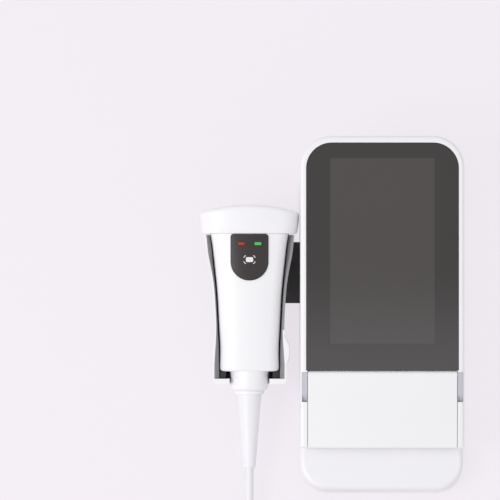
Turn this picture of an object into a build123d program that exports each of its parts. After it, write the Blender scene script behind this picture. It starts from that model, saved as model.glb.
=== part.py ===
from build123d import *
from math import cos, radians, sin, tan
import os

os.makedirs("parts", exist_ok=True)

# Bench-top rapid test reader with a barcode scanner standing in a side cradle.
# +X is to the right of the screen, +Y away from the user and +Z up. The origin is on the bench,
# under the middle of the reader and its scanner.

# Reader casing
reader_w = 98.0        # width across the casing
reader_l = 204.2       # front to back on the bench
reader_h = 73.25       # height at the back edge
face_tilt = 12.0       # slope of the screen face
ledge_h = 15.0         # top of the front ledge, where the two casing shells part
lip_v = 24.9           # from the ledge's front edge to the door's front, along the face
back_corner_r = 18.5   # upright corners at the back
front_corner_r = 16.5  # upright corners of the front ledge
wall = 2.4             # casing wall
face_wall = 3.2        # wall under the screen glass
face_edge_r = 2.0      # softened edge around the face
ledge_edge_r = 3.0     # softened edge of the front ledge
seam_edge = 0.5        # chamfer along the parting line
foot_h = 2.0           # feet stand this far under the base
foot_r = 6.0
foot_inset = 16.0      # foot centres from the side and the back
front_foot_inset = 24.0

# Screen
glass_margin = 3.5     # white border beside the glass
glass_top_margin = 4.5  # white border above the glass
glass_len = 135.8
glass_t = 1.6
glass_corner_r = 15.2
glass_gap = 0.15       # room around the glass in its recess
display_w = 62.3
display_len = 110.7
display_drop = 9.2     # display's top edge below the glass's top edge
display_t = 2.2
display_gap = 0.2      # room around the display in its window
frame_t = 1.2          # sheet frame that holds the display
frame_rim = 7.0        # how far the frame reaches past the display

# Strip door
cheek_w = 4.15         # casing beside the door
door_gap = 0.3         # running gap around the door
door_t = 2.4
knuckle_r = 2.6        # round top edge of the door, on the pin's axis
pin_r = 1.0
pin_clear = 0.05       # radial running clearance of the pin
pin_grip = 8.0         # length of pin inside the door
ear_w = 3.2            # grey hinge ear in each cheek
ear_len = 17.6
ear_rise = 1.6         # ear's top above the pin's axis
ear_depth = 9.0
ear_gap = 0.1

# Strip bay and inner parts
bay_t = 1.8            # wall of the bay moulding
bulkhead_back = 11.0   # bay's back wall below the door's pivot line
slot_w = 32.0          # strip port
slot_h = 5.0
slot_drop = 13.0       # centre of the port below the face
bezel_t = 1.2
bezel_rim = 2.5
board_t = 1.6
board_z = 18.0         # underside of the main board
board_w = 76.0
board_l = 128.0
board_back_gap = 3.0   # main board's edge from the casing's back wall
post_r = 3.0
screw_r = 1.25         # small screws: shank radius
screw_head_r = 2.4
screw_head_t = 1.6
screw_len = 8.0
module_w = 46.0        # measuring module
module_l = 44.0
battery_w = 62.0
battery_l = 74.0
battery_t = 9.0
port_w = 13.1          # data port shell, 12.5 x 5.1 mm inside
port_h = 5.7
port_l = 14.0
port_wall = 0.3
port_floor = 2.0       # closed end of the port
tongue_w = 11.1
tongue_t = 1.84
tongue_rise = 0.8      # tongue above the port's middle
tongue_back = 2.5      # tongue's end from the port's mouth
port_pitch = 20.0
inlet_w = 9.0          # low-voltage power inlet
inlet_h = 11.0
inlet_l = 14.0
inlet_bore_r = 3.2
inlet_pin_r = 1.0
inlet_floor = 3.0      # closed end of the inlet
button_r = 6.0         # power button on the back
button_travel = 0.8
button_gap = 0.25
speaker_r = 14.0
speaker_t = 5.0

# Scanner
head_w = 59.6          # widest part of the head
head_neck_w = 56.8     # head at its lower edge
head_d = 40.0
head_len = 17.2        # along the axis, at the middle of the crown
head_crown = 4.4       # rise of the crowned top
head_gap = 0.6         # from the head to the reader's side
axis_depth = 20.0      # scanner's axis below the reader's face
grip_v = 70.6          # grip end, along the reader's face
shell_t = 1.8          # scanner wall
seam = 0.1             # parting gap between scanner shells
# up the axis from the grip end: half width, half depth
grip_stations = (
    (0.0, 17.6, 13.0),
    (13.0, 17.7, 13.3),
    (25.0, 18.3, 13.8),
    (38.7, 19.0, 14.6),
    (51.8, 19.9, 15.4),
    (60.7, 20.8, 16.2),
    (72.7, 22.1, 17.2),
    (82.4, 23.7, 18.0),
)
grip_corner_r = 8.0    # rounding between the grip's faces
grip_end_r = 1.8
key_w = 22.3           # D-shaped scan key
key_straight = 16.3    # straight part of the D
key_top_gap = 0.3      # key's top edge below the head
key_corner_r = 1.8
key_travel = 0.8
key_gap = 0.2
key_proud = 0.7        # key stands this far out of the front shell
light_w = 4.1          # indicator light pipes
light_h = 1.8
light_corner_r = 0.4
light_drop = 5.6       # centre of the lights below the key's top edge
light_off = 5.0        # lights either side of the key's middle
light_gap = 0.2
collar_r = 11.6        # round end collar at the grip end
collar_len = 11.8
ring_r = 8.9
ring_len = 2.1
boot_r = 7.35          # bend relief, thick end
boot_tip_r = 3.65
boot_len = 43.9
cord_r = 2.5

# Cradle and bracket
# along the grip from its end: grip's side to the cradle's outer side
cradle_stations = (
    (4.0, 4.4),
    (10.0, 4.0),
    (16.0, 3.4),
    (25.0, 2.6),
    (38.7, 2.4),
    (51.8, 2.5),
    (60.7, 3.0),
    (72.7, 3.9),
    (84.4, 4.1),
)
cradle_back_wall = 1.6
cradle_wall = 1.0
cradle_draft = 0.35    # share of the spare room that the walls lose towards the back
liner_t = 0.6
liner_gap = 0.55       # grip's back to the liner
liner_side_gap = 0.6   # grip's sides to the liner
liner_edge = 0.3       # flat edge of the liner along the rim
liner_bevel = 3.0      # depth of the bevel from that edge down to the grip's sides
lip_cover_s = 24.8     # above this the liner laps over the rim of the right arm
lip_cover_t = 1.0
cradle_r = 10.0        # rounded back corners of the trough
cradle_end_r = 2.4     # rounded lower end of the trough
rim_depth = 12.0       # cradle rim below the reader's face
lip_t = 3.2            # floor of the cradle under the grip end
lip_drop = 4.5         # grip end to the floor
bracket_t = 3.0
bracket_len = 37.0
bracket_v = 111.1      # lower edge of the bracket, along the face
bracket_depth = 42.5   # bracket's visible edge below the face
bracket_drop = 6.0     # flange on the reader's side, under the plate

# Cord
coil_r = 27.0          # mean radius of the coil
coil_w = 15.4          # width of the bundle
coil_h = 15.4          # height of the bundle
tie_t = 0.8
tie_w = 12.0
plug_w = 12.0
plug_shell_h = 4.5
plug_shell_l = 18.7
grip_w = 15.6
grip_h = 8.0
grip_l = 27.0

# Placement worked out from the sizes above
total_w = head_w + head_gap + reader_w
reader_x = (total_w - reader_w) / 2
scan_x = -(total_w - head_w) / 2
side_x = reader_x - reader_w / 2
back_y = reader_l / 2
ca, sa = cos(radians(face_tilt)), sin(radians(face_tilt))
up_face = Vector(0, ca, sa)
out_face = Vector(0, -sa, ca)
face_len = reader_l * ca + (reader_h - ledge_h) * sa
face_foot = Vector(reader_x, back_y, reader_h) - up_face * face_len
# Local coordinates of the face: across, up the face from the ledge's front edge, outward
face = Plane(origin=face_foot, x_dir=(1, 0, 0), z_dir=out_face)
floor_z = foot_h + wall
lip_drop_n = (face.from_local_coords((0, lip_v, 0)).Z - ledge_h) / ca
glass_top_v = face_len - glass_top_margin
glass_low_v = glass_top_v - glass_len
glass_w = reader_w - 2 * glass_margin
glass_mid_v = (glass_top_v + glass_low_v) / 2
display_mid_v = glass_top_v - display_drop - display_len / 2
door_top_v = glass_low_v - door_gap
pivot_v = door_top_v - knuckle_r
door_w = reader_w - 2 * cheek_w - 2 * door_gap
bulkhead_v = pivot_v - bulkhead_back


def on_face(u, v, n):
    return face.from_local_coords((u, v, n))


def face_sketch(n):
    """Plane at height n over the face, local axes across and up the face."""
    return Plane(origin=on_face(0, 0, n), x_dir=(1, 0, 0), z_dir=out_face)


def side_sketch(x):
    """Upright plane at x, local axes up the face and outward."""
    foot = face_foot
    return Plane(origin=(x, foot.Y, foot.Z), x_dir=up_face, z_dir=(1, 0, 0))


def side_edges(inset):
    """Side outline of the upper casing as (y, z) points, drawn in by an inset."""
    low_n = on_face(0, lip_v + inset, -lip_drop_n)
    rise = on_face(0, lip_v + inset, -inset)
    run = (back_y - inset - rise.Y) / ca
    back_top = rise + up_face * run
    return (
        (low_n.Y + (low_n.Z - ledge_h) * sa / ca, ledge_h),
        (rise.Y, rise.Z),
        (back_top.Y, back_top.Z),
        (back_y - inset, ledge_h),
    )


# Feet: four rubber pads set into the base
foot_spots = [
    (reader_x + sx * (reader_w / 2 - foot_inset), y)
    for sx in (-1, 1)
    for y in (-back_y + front_foot_inset, back_y - foot_inset)
]
foot_socket = 1.0
foot_clear = 0.1
with BuildPart() as feet:
    with BuildSketch(Plane.XY):
        with Locations(*foot_spots):
            Circle(foot_r)
    extrude(amount=foot_h + foot_socket)
    chamfer(feet.faces().group_by(Axis.Z)[0].edges(), 0.6)
feet.part.label = "feet"
export_step(feet.part, "parts/feet.step")


# Base shell: tray with the front ledge and a deck under the strip bay
riser_y = side_edges(0)[0][0]
bay_back_v = bulkhead_v + bay_t
deck_n = (ledge_h - face_foot.Z - bay_back_v * sa) / ca
deck_end_y = on_face(0, bay_back_v, deck_n).Y
inner_w = reader_w - 2 * wall
boss_r = 4.2
boss_floor = 3.0
boss_x = inner_w / 2 + 0.4 - boss_r
boss_front_v = glass_low_v + 10.0
boss_spots = [
    (reader_x + sx * boss_x, y)
    for sx in (-1, 1)
    for y in (face_foot.Y + boss_front_v * ca, back_y - back_corner_r)
]
board_back_y = back_y - wall - board_back_gap
board_mid_y = board_back_y - board_l / 2
post_inset = 5.0
post_spots = [
    (reader_x + sx * (board_w / 2 - post_inset), board_mid_y + sy * (board_l / 2 - post_inset))
    for sx in (-1, 1)
    for sy in (-1, 1)
]
battery_y = board_back_y - 30.0 - battery_l / 2
battery_room = 0.5
cover_rebate = 1.2
cover_rim = 3.0
cover_gap = 0.2
speaker_y = riser_y + 24.0
shank_gap = 0.05
side_boss_len = 8.0
bracket_mid_v = bracket_v + bracket_len / 2
flange_n = -bracket_depth - bracket_t - bracket_drop / 2
side_screws = [on_face(side_x - reader_x, bracket_mid_v + d, flange_n) for d in (-9.0, 9.0)]
with BuildPart() as base_shell:
    with BuildSketch(Plane.XY.offset(foot_h)):
        with Locations((reader_x, (riser_y - back_y) / 2)):
            Rectangle(reader_w, riser_y + back_y)
        fillet(vertices().group_by(Axis.Y)[0], front_corner_r)
    extrude(amount=ledge_h - foot_h)
    fillet(base_shell.faces().sort_by(Axis.Z)[-1].edges().sort_by(Axis.Y)[:-1], ledge_edge_r)
    with BuildSketch(Plane.XY.offset(foot_h)):
        with Locations((reader_x, (riser_y + back_y) / 2)):
            Rectangle(reader_w, back_y - riser_y)
        fillet(vertices().group_by(Axis.Y)[-1], back_corner_r)
    extrude(amount=ledge_h - foot_h)
    # hollow: closed over by the ledge and deck in front, open behind them
    with BuildSketch(Plane.XY.offset(floor_z)):
        with Locations((reader_x, 0)):
            Rectangle(inner_w, reader_l - 2 * wall)
        fillet(vertices().group_by(Axis.Y)[0], front_corner_r - wall)
        fillet(vertices().group_by(Axis.Y)[-1], back_corner_r - wall)
    extrude(amount=ledge_h - wall - floor_z, mode=Mode.SUBTRACT)
    with BuildSketch(Plane.XY.offset(ledge_h - wall)):
        with Locations((reader_x, (deck_end_y + back_y - wall) / 2)):
            Rectangle(inner_w, back_y - wall - deck_end_y)
        fillet(vertices().group_by(Axis.Y)[-1], back_corner_r - wall)
    extrude(amount=wall, mode=Mode.SUBTRACT)
    # screw bosses and board posts
    with BuildSketch(Plane.XY.offset(foot_h + wall / 2)):
        with Locations(*boss_spots):
            Circle(boss_r)
    extrude(amount=ledge_h - foot_h - wall / 2)
    with BuildSketch(Plane.XY.offset(foot_h + wall / 2)):
        with Locations(*post_spots):
            Circle(post_r)
    extrude(amount=board_z - foot_h - wall / 2)
    for spot in side_screws:
        low = foot_h + wall / 2
        with BuildSketch(Plane(origin=(side_x + wall / 2, spot.Y, low), x_dir=(0, 1, 0), z_dir=(1, 0, 0))):
            Rectangle(2 * screw_r + wall, spot.Z + screw_r + wall / 2 - low, align=(Align.CENTER, Align.MIN))
        extrude(amount=side_boss_len - wall / 2)
        with BuildSketch(Plane(origin=spot, z_dir=(1, 0, 0))):
            Circle(screw_r + shank_gap)
        extrude(amount=screw_len, mode=Mode.SUBTRACT)
    with Locations(*[(x, y, foot_h) for x, y in boss_spots]):
        Cylinder(screw_head_r + 0.2, ledge_h - boss_floor - foot_h,
                 align=(Align.CENTER, Align.CENTER, Align.MIN), mode=Mode.SUBTRACT)
        Cylinder(screw_r + shank_gap, ledge_h, align=(Align.CENTER, Align.CENTER, Align.MIN),
                 mode=Mode.SUBTRACT)
    with Locations(*[(x, y, board_z + board_t - screw_len) for x, y in post_spots]):
        Cylinder(screw_r + shank_gap, screw_len, align=(Align.CENTER, Align.CENTER, Align.MIN),
                 mode=Mode.SUBTRACT)
    # sockets for the feet
    with BuildSketch(Plane.XY.offset(foot_h)):
        with Locations(*foot_spots):
            Circle(foot_r + foot_clear)
    extrude(amount=foot_socket, mode=Mode.SUBTRACT)
    # battery opening with a rebate for its cover
    with BuildSketch(Plane.XY.offset(foot_h)):
        with Locations((reader_x, battery_y)):
            RectangleRounded(battery_w + 2 * battery_room, battery_l + 2 * battery_room, 3.0)
    extrude(amount=wall, mode=Mode.SUBTRACT)
    with BuildSketch(Plane.XY.offset(foot_h)):
        with Locations((reader_x, battery_y)):
            RectangleRounded(battery_w + 2 * (battery_room + cover_rim),
                             battery_l + 2 * (battery_room + cover_rim), 5.0)
    extrude(amount=cover_rebate, mode=Mode.SUBTRACT)
    # speaker grille
    with BuildSketch(Plane.XY.offset(foot_h)):
        with Locations((reader_x, speaker_y)):
            with GridLocations(4.0, 0, 5, 1):
                SlotOverall(16.0, 1.6, rotation=90)
    extrude(amount=wall, mode=Mode.SUBTRACT)
base_shell.part.label = "base_shell"
export_step(base_shell.part, "parts/base_shell.step")

# Battery cover: plate in the rebate with a pad that fills the opening
with BuildPart() as battery_cover:
    with BuildSketch(Plane.XY.offset(foot_h)):
        with Locations((reader_x, battery_y)):
            RectangleRounded(battery_w + 2 * (battery_room + cover_rim - cover_gap),
                             battery_l + 2 * (battery_room + cover_rim - cover_gap), 4.8)
    extrude(amount=cover_rebate)
    with BuildSketch(Plane.XY.offset(foot_h + cover_rebate)):
        with Locations((reader_x, battery_y)):
            RectangleRounded(battery_w + 2 * (battery_room - cover_gap),
                             battery_l + 2 * (battery_room - cover_gap), 2.8)
    extrude(amount=wall - cover_rebate)
    with BuildSketch(Plane.XY.offset(foot_h)):
        with Locations((reader_x, battery_y - battery_l / 2 + 8)):
            with GridLocations(0, 3.0, 1, 3):
                SlotOverall(18.0, 1.2)
    extrude(amount=0.5, mode=Mode.SUBTRACT)
battery_cover.part.label = "battery_cover"
export_step(battery_cover.part, "parts/battery_cover.step")

with BuildPart() as battery_pack:
    with Locations((reader_x, battery_y, floor_z)):
        Box(battery_w, battery_l, battery_t, align=(Align.CENTER, Align.CENTER, Align.MIN))
    fillet(battery_pack.edges().filter_by(Axis.Z), 2.5)
battery_pack.part.label = "battery_pack"
export_step(battery_pack.part, "parts/battery_pack.step")

with BuildPart() as speaker:
    with Locations((reader_x, speaker_y, floor_z)):
        Cylinder(speaker_r, speaker_t * 0.4, align=(Align.CENTER, Align.CENTER, Align.MIN))
        Cylinder(speaker_r - 4, speaker_t, align=(Align.CENTER, Align.CENTER, Align.MIN))
speaker.part.label = "speaker"
export_step(speaker.part, "parts/speaker.step")

# Main board, its parts and its screws
with BuildPart() as main_board:
    with BuildSketch(Plane.XY.offset(board_z)):
        with Locations((reader_x, board_mid_y)):
            RectangleRounded(board_w, board_l, 3.0)
        with Locations(*post_spots):
            Circle(screw_r + shank_gap, mode=Mode.SUBTRACT)
    extrude(amount=board_t)
main_board.part.label = "main_board"
export_step(main_board.part, "parts/main_board.step")

board_top = board_z + board_t
chips = (  # across and back from the board's middle, width, length, height
    (-14.0, 6.0, 16.0, 16.0, 1.6),
    (10.0, 4.0, 12.0, 10.0, 1.2),
    (10.0, 20.0, 14.0, 9.0, 1.2),
    (-16.0, 28.0, 9.0, 9.0, 3.0),
    (26.0, -14.0, 6.0, 22.0, 5.5),
    (-28.0, -6.0, 5.0, 18.0, 4.5),
)
with BuildPart() as board_chips:
    for across, back, cw, cl, ch in chips:
        with Locations((reader_x + across, board_mid_y + back, board_top)):
            Box(cw, cl, ch, align=(Align.CENTER, Align.CENTER, Align.MIN))
board_chips.part.label = "board_chips"
export_step(board_chips.part, "parts/board_chips.step")

radio_w, radio_l, radio_h = 14.0, 20.0, 2.6
with BuildPart() as radio_module:
    with Locations((reader_x + 24.0, board_mid_y + 26.0, board_top)):
        Box(radio_w, radio_l, radio_h, align=(Align.CENTER, Align.CENTER, Align.MIN))
    chamfer(radio_module.faces().sort_by(Axis.Z)[-1].edges(), 0.4)
radio_module.part.label = "radio_module"
export_step(radio_module.part, "parts/radio_module.step")


def screws(spots, up):
    """Pan-head screws: each spot is the underside of the head, up is the way the head points."""
    with BuildPart() as made:
        for spot in spots:
            with BuildSketch(Plane(origin=spot, z_dir=up)):
                Circle(screw_head_r)
            extrude(amount=screw_head_t)
            with BuildSketch(Plane(origin=spot, z_dir=up)):
                Circle(screw_r)
            extrude(amount=-(screw_len - screw_head_t))
            with BuildSketch(Plane(origin=Vector(*spot) + Vector(*up) * screw_head_t, z_dir=up)):
                RegularPolygon(screw_r, 6)
            extrude(amount=-screw_head_t * 0.6, mode=Mode.SUBTRACT)
    return made.part


board_screws = screws([(x, y, board_top) for x, y in post_spots], (0, 0, 1))
board_screws.label = "board_screws"
export_step(board_screws, "parts/board_screws.step")

casing_screws = screws([(x, y, ledge_h - boss_floor) for x, y in boss_spots], (0, 0, -1))
casing_screws.label = "casing_screws"
export_step(casing_screws, "parts/casing_screws.step")


def face_z(y, depth):
    """Height of the surface that lies a depth under the face, at a given y."""
    return face_foot.Z + (y - face_foot.Y) * sa / ca - depth / ca


# Upper shell: a wedge with the screen recess, door opening and rear openings
port_z = board_top + port_h / 2
port_spots = [reader_x - port_pitch / 2, reader_x + port_pitch / 2]
inlet_x = reader_x + port_pitch / 2 + 16.0
inlet_z = board_top + inlet_h / 2
button_x = reader_x - port_pitch / 2 - 13.5
button_z = board_top + 14.0
port_clear = 0.2
with BuildPart() as wedge_core:
    with BuildSketch(Plane.YZ.offset(reader_x - inner_w / 2)):
        with BuildLine():
            Polyline(*side_edges(wall), close=True)
        make_face()
    extrude(amount=inner_w)
    with BuildSketch(face_sketch(-wall)):
        with Locations((0, face_len / 2)):
            Rectangle(reader_w, face_len + 40)
    extrude(amount=-(face_wall - wall), mode=Mode.SUBTRACT)
    fillet(wedge_core.edges().filter_by(Axis.Z).group_by(Axis.Y)[-1], back_corner_r - wall)

with BuildPart() as top_shell:
    with BuildSketch(Plane.YZ.offset(side_x)):
        with BuildLine():
            Polyline(*side_edges(0), close=True)
        make_face()
    extrude(amount=reader_w)
    fillet(top_shell.edges().filter_by(Axis.Z).group_by(Axis.Y)[-1], back_corner_r)
    fillet(top_shell.faces().filter_by(Plane(face_foot, z_dir=out_face)).edges(), face_edge_r)
    chamfer(top_shell.faces().sort_by(Axis.Z)[0].edges().sort_by(Axis.Y)[1:], seam_edge)
    add(wedge_core.part, mode=Mode.SUBTRACT)
    # bosses for the casing screws, up to the face
    for x, y in boss_spots:
        with BuildSketch(Plane.XY.offset(ledge_h)):
            with Locations((x, y)):
                Circle(boss_r)
        extrude(amount=face_z(y - boss_r, face_wall) + 0.6 - ledge_h)
    with Locations(*[(x, y, ledge_h) for x, y in boss_spots]):
        Cylinder(screw_r + shank_gap, screw_len, align=(Align.CENTER, Align.CENTER, Align.MIN),
                 mode=Mode.SUBTRACT)
    # recess for the glass and window for the display behind it
    with BuildSketch(face_sketch(0)):
        with Locations((0, glass_mid_v)):
            Rectangle(glass_w + 2 * glass_gap, glass_len + 2 * glass_gap)
        fillet(vertices().group_by(Axis.Y)[-1], glass_corner_r + glass_gap)
    extrude(amount=-glass_t, mode=Mode.SUBTRACT)
    with BuildSketch(face_sketch(0)):
        with Locations((0, display_mid_v)):
            Rectangle(display_w + 2 * display_gap, display_len + 2 * display_gap)
    extrude(amount=-2 * face_wall, mode=Mode.SUBTRACT)
    # door opening between the cheeks
    with BuildSketch(side_sketch(side_x + cheek_w)):
        with BuildLine():
            Polyline((-30, -reader_h), (-30, 10), (glass_low_v, 10), (glass_low_v, -reader_h), close=True)
        make_face()
    extrude(amount=reader_w - 2 * cheek_w, mode=Mode.SUBTRACT)
    # notches for the hinge ears
    for side in (-1, 1):
        with BuildSketch(face_sketch(5)):
            with Locations((side * (reader_w / 2 - cheek_w + ear_w / 2), pivot_v + ear_rise - ear_len / 2)):
                Rectangle(ear_w + 2 * ear_gap, ear_len + 2 * ear_gap)
        extrude(amount=-(5 + ear_depth), mode=Mode.SUBTRACT)
    # rear openings
    with BuildSketch(Plane(origin=(0, back_y + 5, 0), x_dir=(1, 0, 0), z_dir=(0, -1, 0))):
        with Locations(*[(x, port_z) for x in port_spots]):
            Rectangle(port_w + 2 * port_clear, port_h + 2 * port_clear)
        with Locations((inlet_x, inlet_z)):
            Rectangle(inlet_w + 2 * port_clear, inlet_h + 2 * port_clear)
        with Locations((button_x, button_z)):
            Circle(button_r + button_gap)
        with Locations((reader_x, button_z + 14)):
            with GridLocations(4.0, 0, 9, 1):
                SlotOverall(10.0, 1.8, rotation=90)
    extrude(amount=5 + wall + 2, mode=Mode.SUBTRACT)
top_shell.part.label = "top_shell"
export_step(top_shell.part, "parts/top_shell.step")

# Screen glass, display and the sheet frame behind it
with BuildPart() as screen_glass:
    with BuildSketch(face_sketch(0)):
        with Locations((0, glass_mid_v)):
            Rectangle(glass_w, glass_len)
        fillet(vertices().group_by(Axis.Y)[-1], glass_corner_r)
    extrude(amount=-glass_t)
    fillet(screen_glass.faces().filter_by(Plane(face_foot, z_dir=out_face)).sort_by(Axis.Z)[-1].edges(), 0.4)
screen_glass.part.label = "screen_glass"
export_step(screen_glass.part, "parts/screen_glass.step")

with BuildPart() as display_panel:
    with BuildSketch(face_sketch(-glass_t)):
        with Locations((0, display_mid_v)):
            Rectangle(display_w, display_len)
    extrude(amount=-display_t)
display_panel.part.label = "display_panel"
export_step(display_panel.part, "parts/display_panel.step")

with BuildPart() as display_frame:
    with BuildSketch(face_sketch(-face_wall)):
        with Locations((0, display_mid_v)):
            RectangleRounded(display_w + 2 * frame_rim, display_len + 2 * frame_rim, 2.0)
    extrude(amount=-(glass_t + display_t - face_wall + frame_t))
    with BuildSketch(face_sketch(-face_wall)):
        with Locations((0, display_mid_v)):
            Rectangle(display_w + 2 * display_gap, display_len + 2 * display_gap)
    extrude(amount=-(glass_t + display_t - face_wall), mode=Mode.SUBTRACT)
display_frame.part.label = "display_frame"
export_step(display_frame.part, "parts/display_frame.step")

# Strip door: plate, front lip and knuckles around the pins
with BuildPart() as strip_door:
    with BuildSketch(side_sketch(reader_x - door_w / 2)):
        with BuildLine():
            Polyline((lip_v, 0), (pivot_v, 0), (pivot_v, -door_t), (lip_v + door_t, -door_t),
                     (lip_v + door_t, -lip_drop_n + 1.0), (lip_v, -lip_drop_n + 1.0), close=True)
        make_face()
        with Locations((pivot_v, -knuckle_r)):
            Circle(knuckle_r)
    extrude(amount=door_w)
    fillet(strip_door.edges().filter_by(Axis.X).sort_by(lambda e: (e.center() - face_foot).dot(up_face))[0:2]
           .sort_by(Axis.Z)[-1:], 1.6)
    for side in (-1, 1):
        with BuildSketch(Plane(origin=on_face(side * door_w / 2, pivot_v, -knuckle_r), z_dir=(-side, 0, 0))):
            Circle(pin_r + pin_clear)
        extrude(amount=pin_grip + 0.3, mode=Mode.SUBTRACT)
strip_door.part.label = "strip_door"
export_step(strip_door.part, "parts/strip_door.step")

# Hinge ears in the cheeks and the pins between ears and door
ear_drop = 0.3
for side, name in ((-1, "hinge_ear_left"), (1, "hinge_ear_right")):
    ear_in = reader_w / 2 - cheek_w
    with BuildPart() as hinge_ear:
        with BuildSketch(side_sketch(reader_x + side * ear_in)):
            top, low = pivot_v + ear_rise, pivot_v + ear_rise - ear_len
            with BuildLine():
                Polyline((top, -ear_drop), (low + 4.5, -ear_drop), (low, -ear_drop - 3.0),
                         (low, -ear_depth), (top, -ear_depth), close=True)
            make_face()
        extrude(amount=side * ear_w)
        with BuildSketch(Plane(origin=on_face(side * ear_in, pivot_v, -knuckle_r), z_dir=(side, 0, 0))):
            Circle(pin_r + pin_clear)
        extrude(amount=ear_w - 0.6, mode=Mode.SUBTRACT)
    hinge_ear.part.label = name
    export_step(hinge_ear.part, "parts/" + name + ".step")

with BuildPart() as hinge_pins:
    for side in (-1, 1):
        out_end = reader_w / 2 - cheek_w + ear_w - 0.7
        with BuildSketch(Plane(origin=on_face(side * out_end, pivot_v, -knuckle_r), z_dir=(-side, 0, 0))):
            Circle(pin_r)
        extrude(amount=out_end - door_w / 2 + pin_grip)
hinge_pins.part.label = "hinge_pins"
export_step(hinge_pins.part, "parts/hinge_pins.step")

# Strip bay: tub under the door with the strip port in its back wall
bay_front_v = lip_v + door_t + 0.6
bay_top = door_t + 0.3
bay_w = reader_w - 2 * cheek_w - 2 * 0.2


def at_z(v, z):
    """Depth at which the line across the face at v reaches a height."""
    return (z - face_foot.Z - v * sa) / ca


slot_mid = on_face(0, bulkhead_v, -slot_drop)
with BuildPart() as strip_bay:
    with BuildSketch(side_sketch(reader_x - bay_w / 2)):
        with BuildLine():
            Polyline((bay_front_v, at_z(bay_front_v, ledge_h)), (bay_front_v, -bay_top),
                     (bay_back_v, -bay_top), (bay_back_v, deck_n), close=True)
        make_face()
    extrude(amount=bay_w)
    with BuildSketch(side_sketch(reader_x - bay_w / 2 + bay_t)):
        with BuildLine():
            Polyline((bay_front_v - 5, at_z(bay_front_v - 5, ledge_h + bay_t)), (bay_front_v - 5, 10),
                     (bulkhead_v, 10), (bulkhead_v, at_z(bulkhead_v, ledge_h + bay_t)), close=True)
        make_face()
    extrude(amount=bay_w - 2 * bay_t, mode=Mode.SUBTRACT)
    with BuildSketch(Plane(origin=slot_mid - Vector(0, 6, 0), x_dir=(1, 0, 0), z_dir=(0, -1, 0))):
        RectangleRounded(slot_w, slot_h, 1.2)
    extrude(amount=-(bay_t + 12), mode=Mode.SUBTRACT)
strip_bay.part.label = "strip_bay"
export_step(strip_bay.part, "parts/strip_bay.step")

with BuildPart() as port_bezel:
    with BuildSketch(Plane(origin=slot_mid, x_dir=(1, 0, 0), z_dir=-up_face)):
        RectangleRounded(slot_w + 2 * bezel_rim, slot_h + 2 * bezel_rim, 2.5)
    extrude(amount=bezel_t)
    chamfer(port_bezel.faces().sort_by(lambda f: (f.center() - face_foot).dot(up_face))[0].edges(), 0.5)
    with BuildSketch(Plane(origin=slot_mid - Vector(0, 6, 0), x_dir=(1, 0, 0), z_dir=(0, -1, 0))):
        RectangleRounded(slot_w, slot_h, 1.2)
    extrude(amount=-(bay_t + 12), mode=Mode.SUBTRACT)
port_bezel.part.label = "port_bezel"
export_step(port_bezel.part, "parts/port_bezel.step")

# Measuring module behind the port, with its strip channel, light guide and sensor board
module_top = board_top + 17.0
module_back_y = deck_end_y + module_l
channel_l = 24.0
with BuildPart() as measuring_module:
    with BuildSketch(Plane.YZ.offset(reader_x - module_w / 2)):
        low = on_face(0, bay_back_v, at_z(bay_back_v, board_top))
        high = on_face(0, bay_back_v, at_z(bay_back_v, module_top))
        with BuildLine():
            Polyline((low.Y, low.Z), (high.Y, high.Z), (module_back_y, module_top),
                     (module_back_y, board_top), close=True)
        make_face()
    extrude(amount=module_w)
    with BuildSketch(Plane(origin=slot_mid, x_dir=(1, 0, 0), z_dir=(0, -1, 0))):
        Rectangle(slot_w, slot_h)
    extrude(amount=-(bay_t + channel_l), mode=Mode.SUBTRACT)
measuring_module.part.label = "measuring_module"
export_step(measuring_module.part, "parts/measuring_module.step")

with BuildPart() as sensor_board:
    with Locations((reader_x, module_back_y - 13.0, module_top)):
        Box(34.0, 22.0, board_t, align=(Align.CENTER, Align.CENTER, Align.MIN))
sensor_board.part.label = "sensor_board"
export_step(sensor_board.part, "parts/sensor_board.step")

with BuildPart() as sensor_parts:
    with Locations((reader_x - 6.0, module_back_y - 13.0, module_top + board_t)):
        Box(9.0, 9.0, 1.4, align=(Align.CENTER, Align.CENTER, Align.MIN))
    with Locations((reader_x + 9.0, module_back_y - 13.0, module_top + board_t)):
        Box(5.0, 14.0, 2.0, align=(Align.CENTER, Align.CENTER, Align.MIN))
sensor_parts.part.label = "sensor_parts"
export_step(sensor_parts.part, "parts/sensor_parts.step")

# Rear ports, power inlet, power button and its switch
port_face_y = back_y - 0.3
port_floor_y = port_face_y - port_l + port_floor
inlet_floor_y = port_face_y - inlet_l + inlet_floor
with BuildPart() as data_ports:
    with BuildSketch(Plane(origin=(0, port_face_y, 0), x_dir=(1, 0, 0), z_dir=(0, -1, 0))):
        with Locations(*[(x, port_z) for x in port_spots]):
            Rectangle(port_w, port_h)
    extrude(amount=port_l)
    with BuildSketch(Plane(origin=(0, port_face_y, 0), x_dir=(1, 0, 0), z_dir=(0, -1, 0))):
        with Locations(*[(x, port_z) for x in port_spots]):
            Rectangle(port_w - 2 * port_wall, port_h - 2 * port_wall)
    extrude(amount=port_l - port_floor, mode=Mode.SUBTRACT)
    with BuildSketch(Plane(origin=(0, port_floor_y, 0), x_dir=(1, 0, 0), z_dir=(0, -1, 0))):
        with Locations(*[(x, port_z + tongue_rise) for x in port_spots]):
            Rectangle(tongue_w, tongue_t)
    extrude(amount=-(port_l - port_floor - tongue_back))
data_ports.part.label = "data_ports"
export_step(data_ports.part, "parts/data_ports.step")

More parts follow.
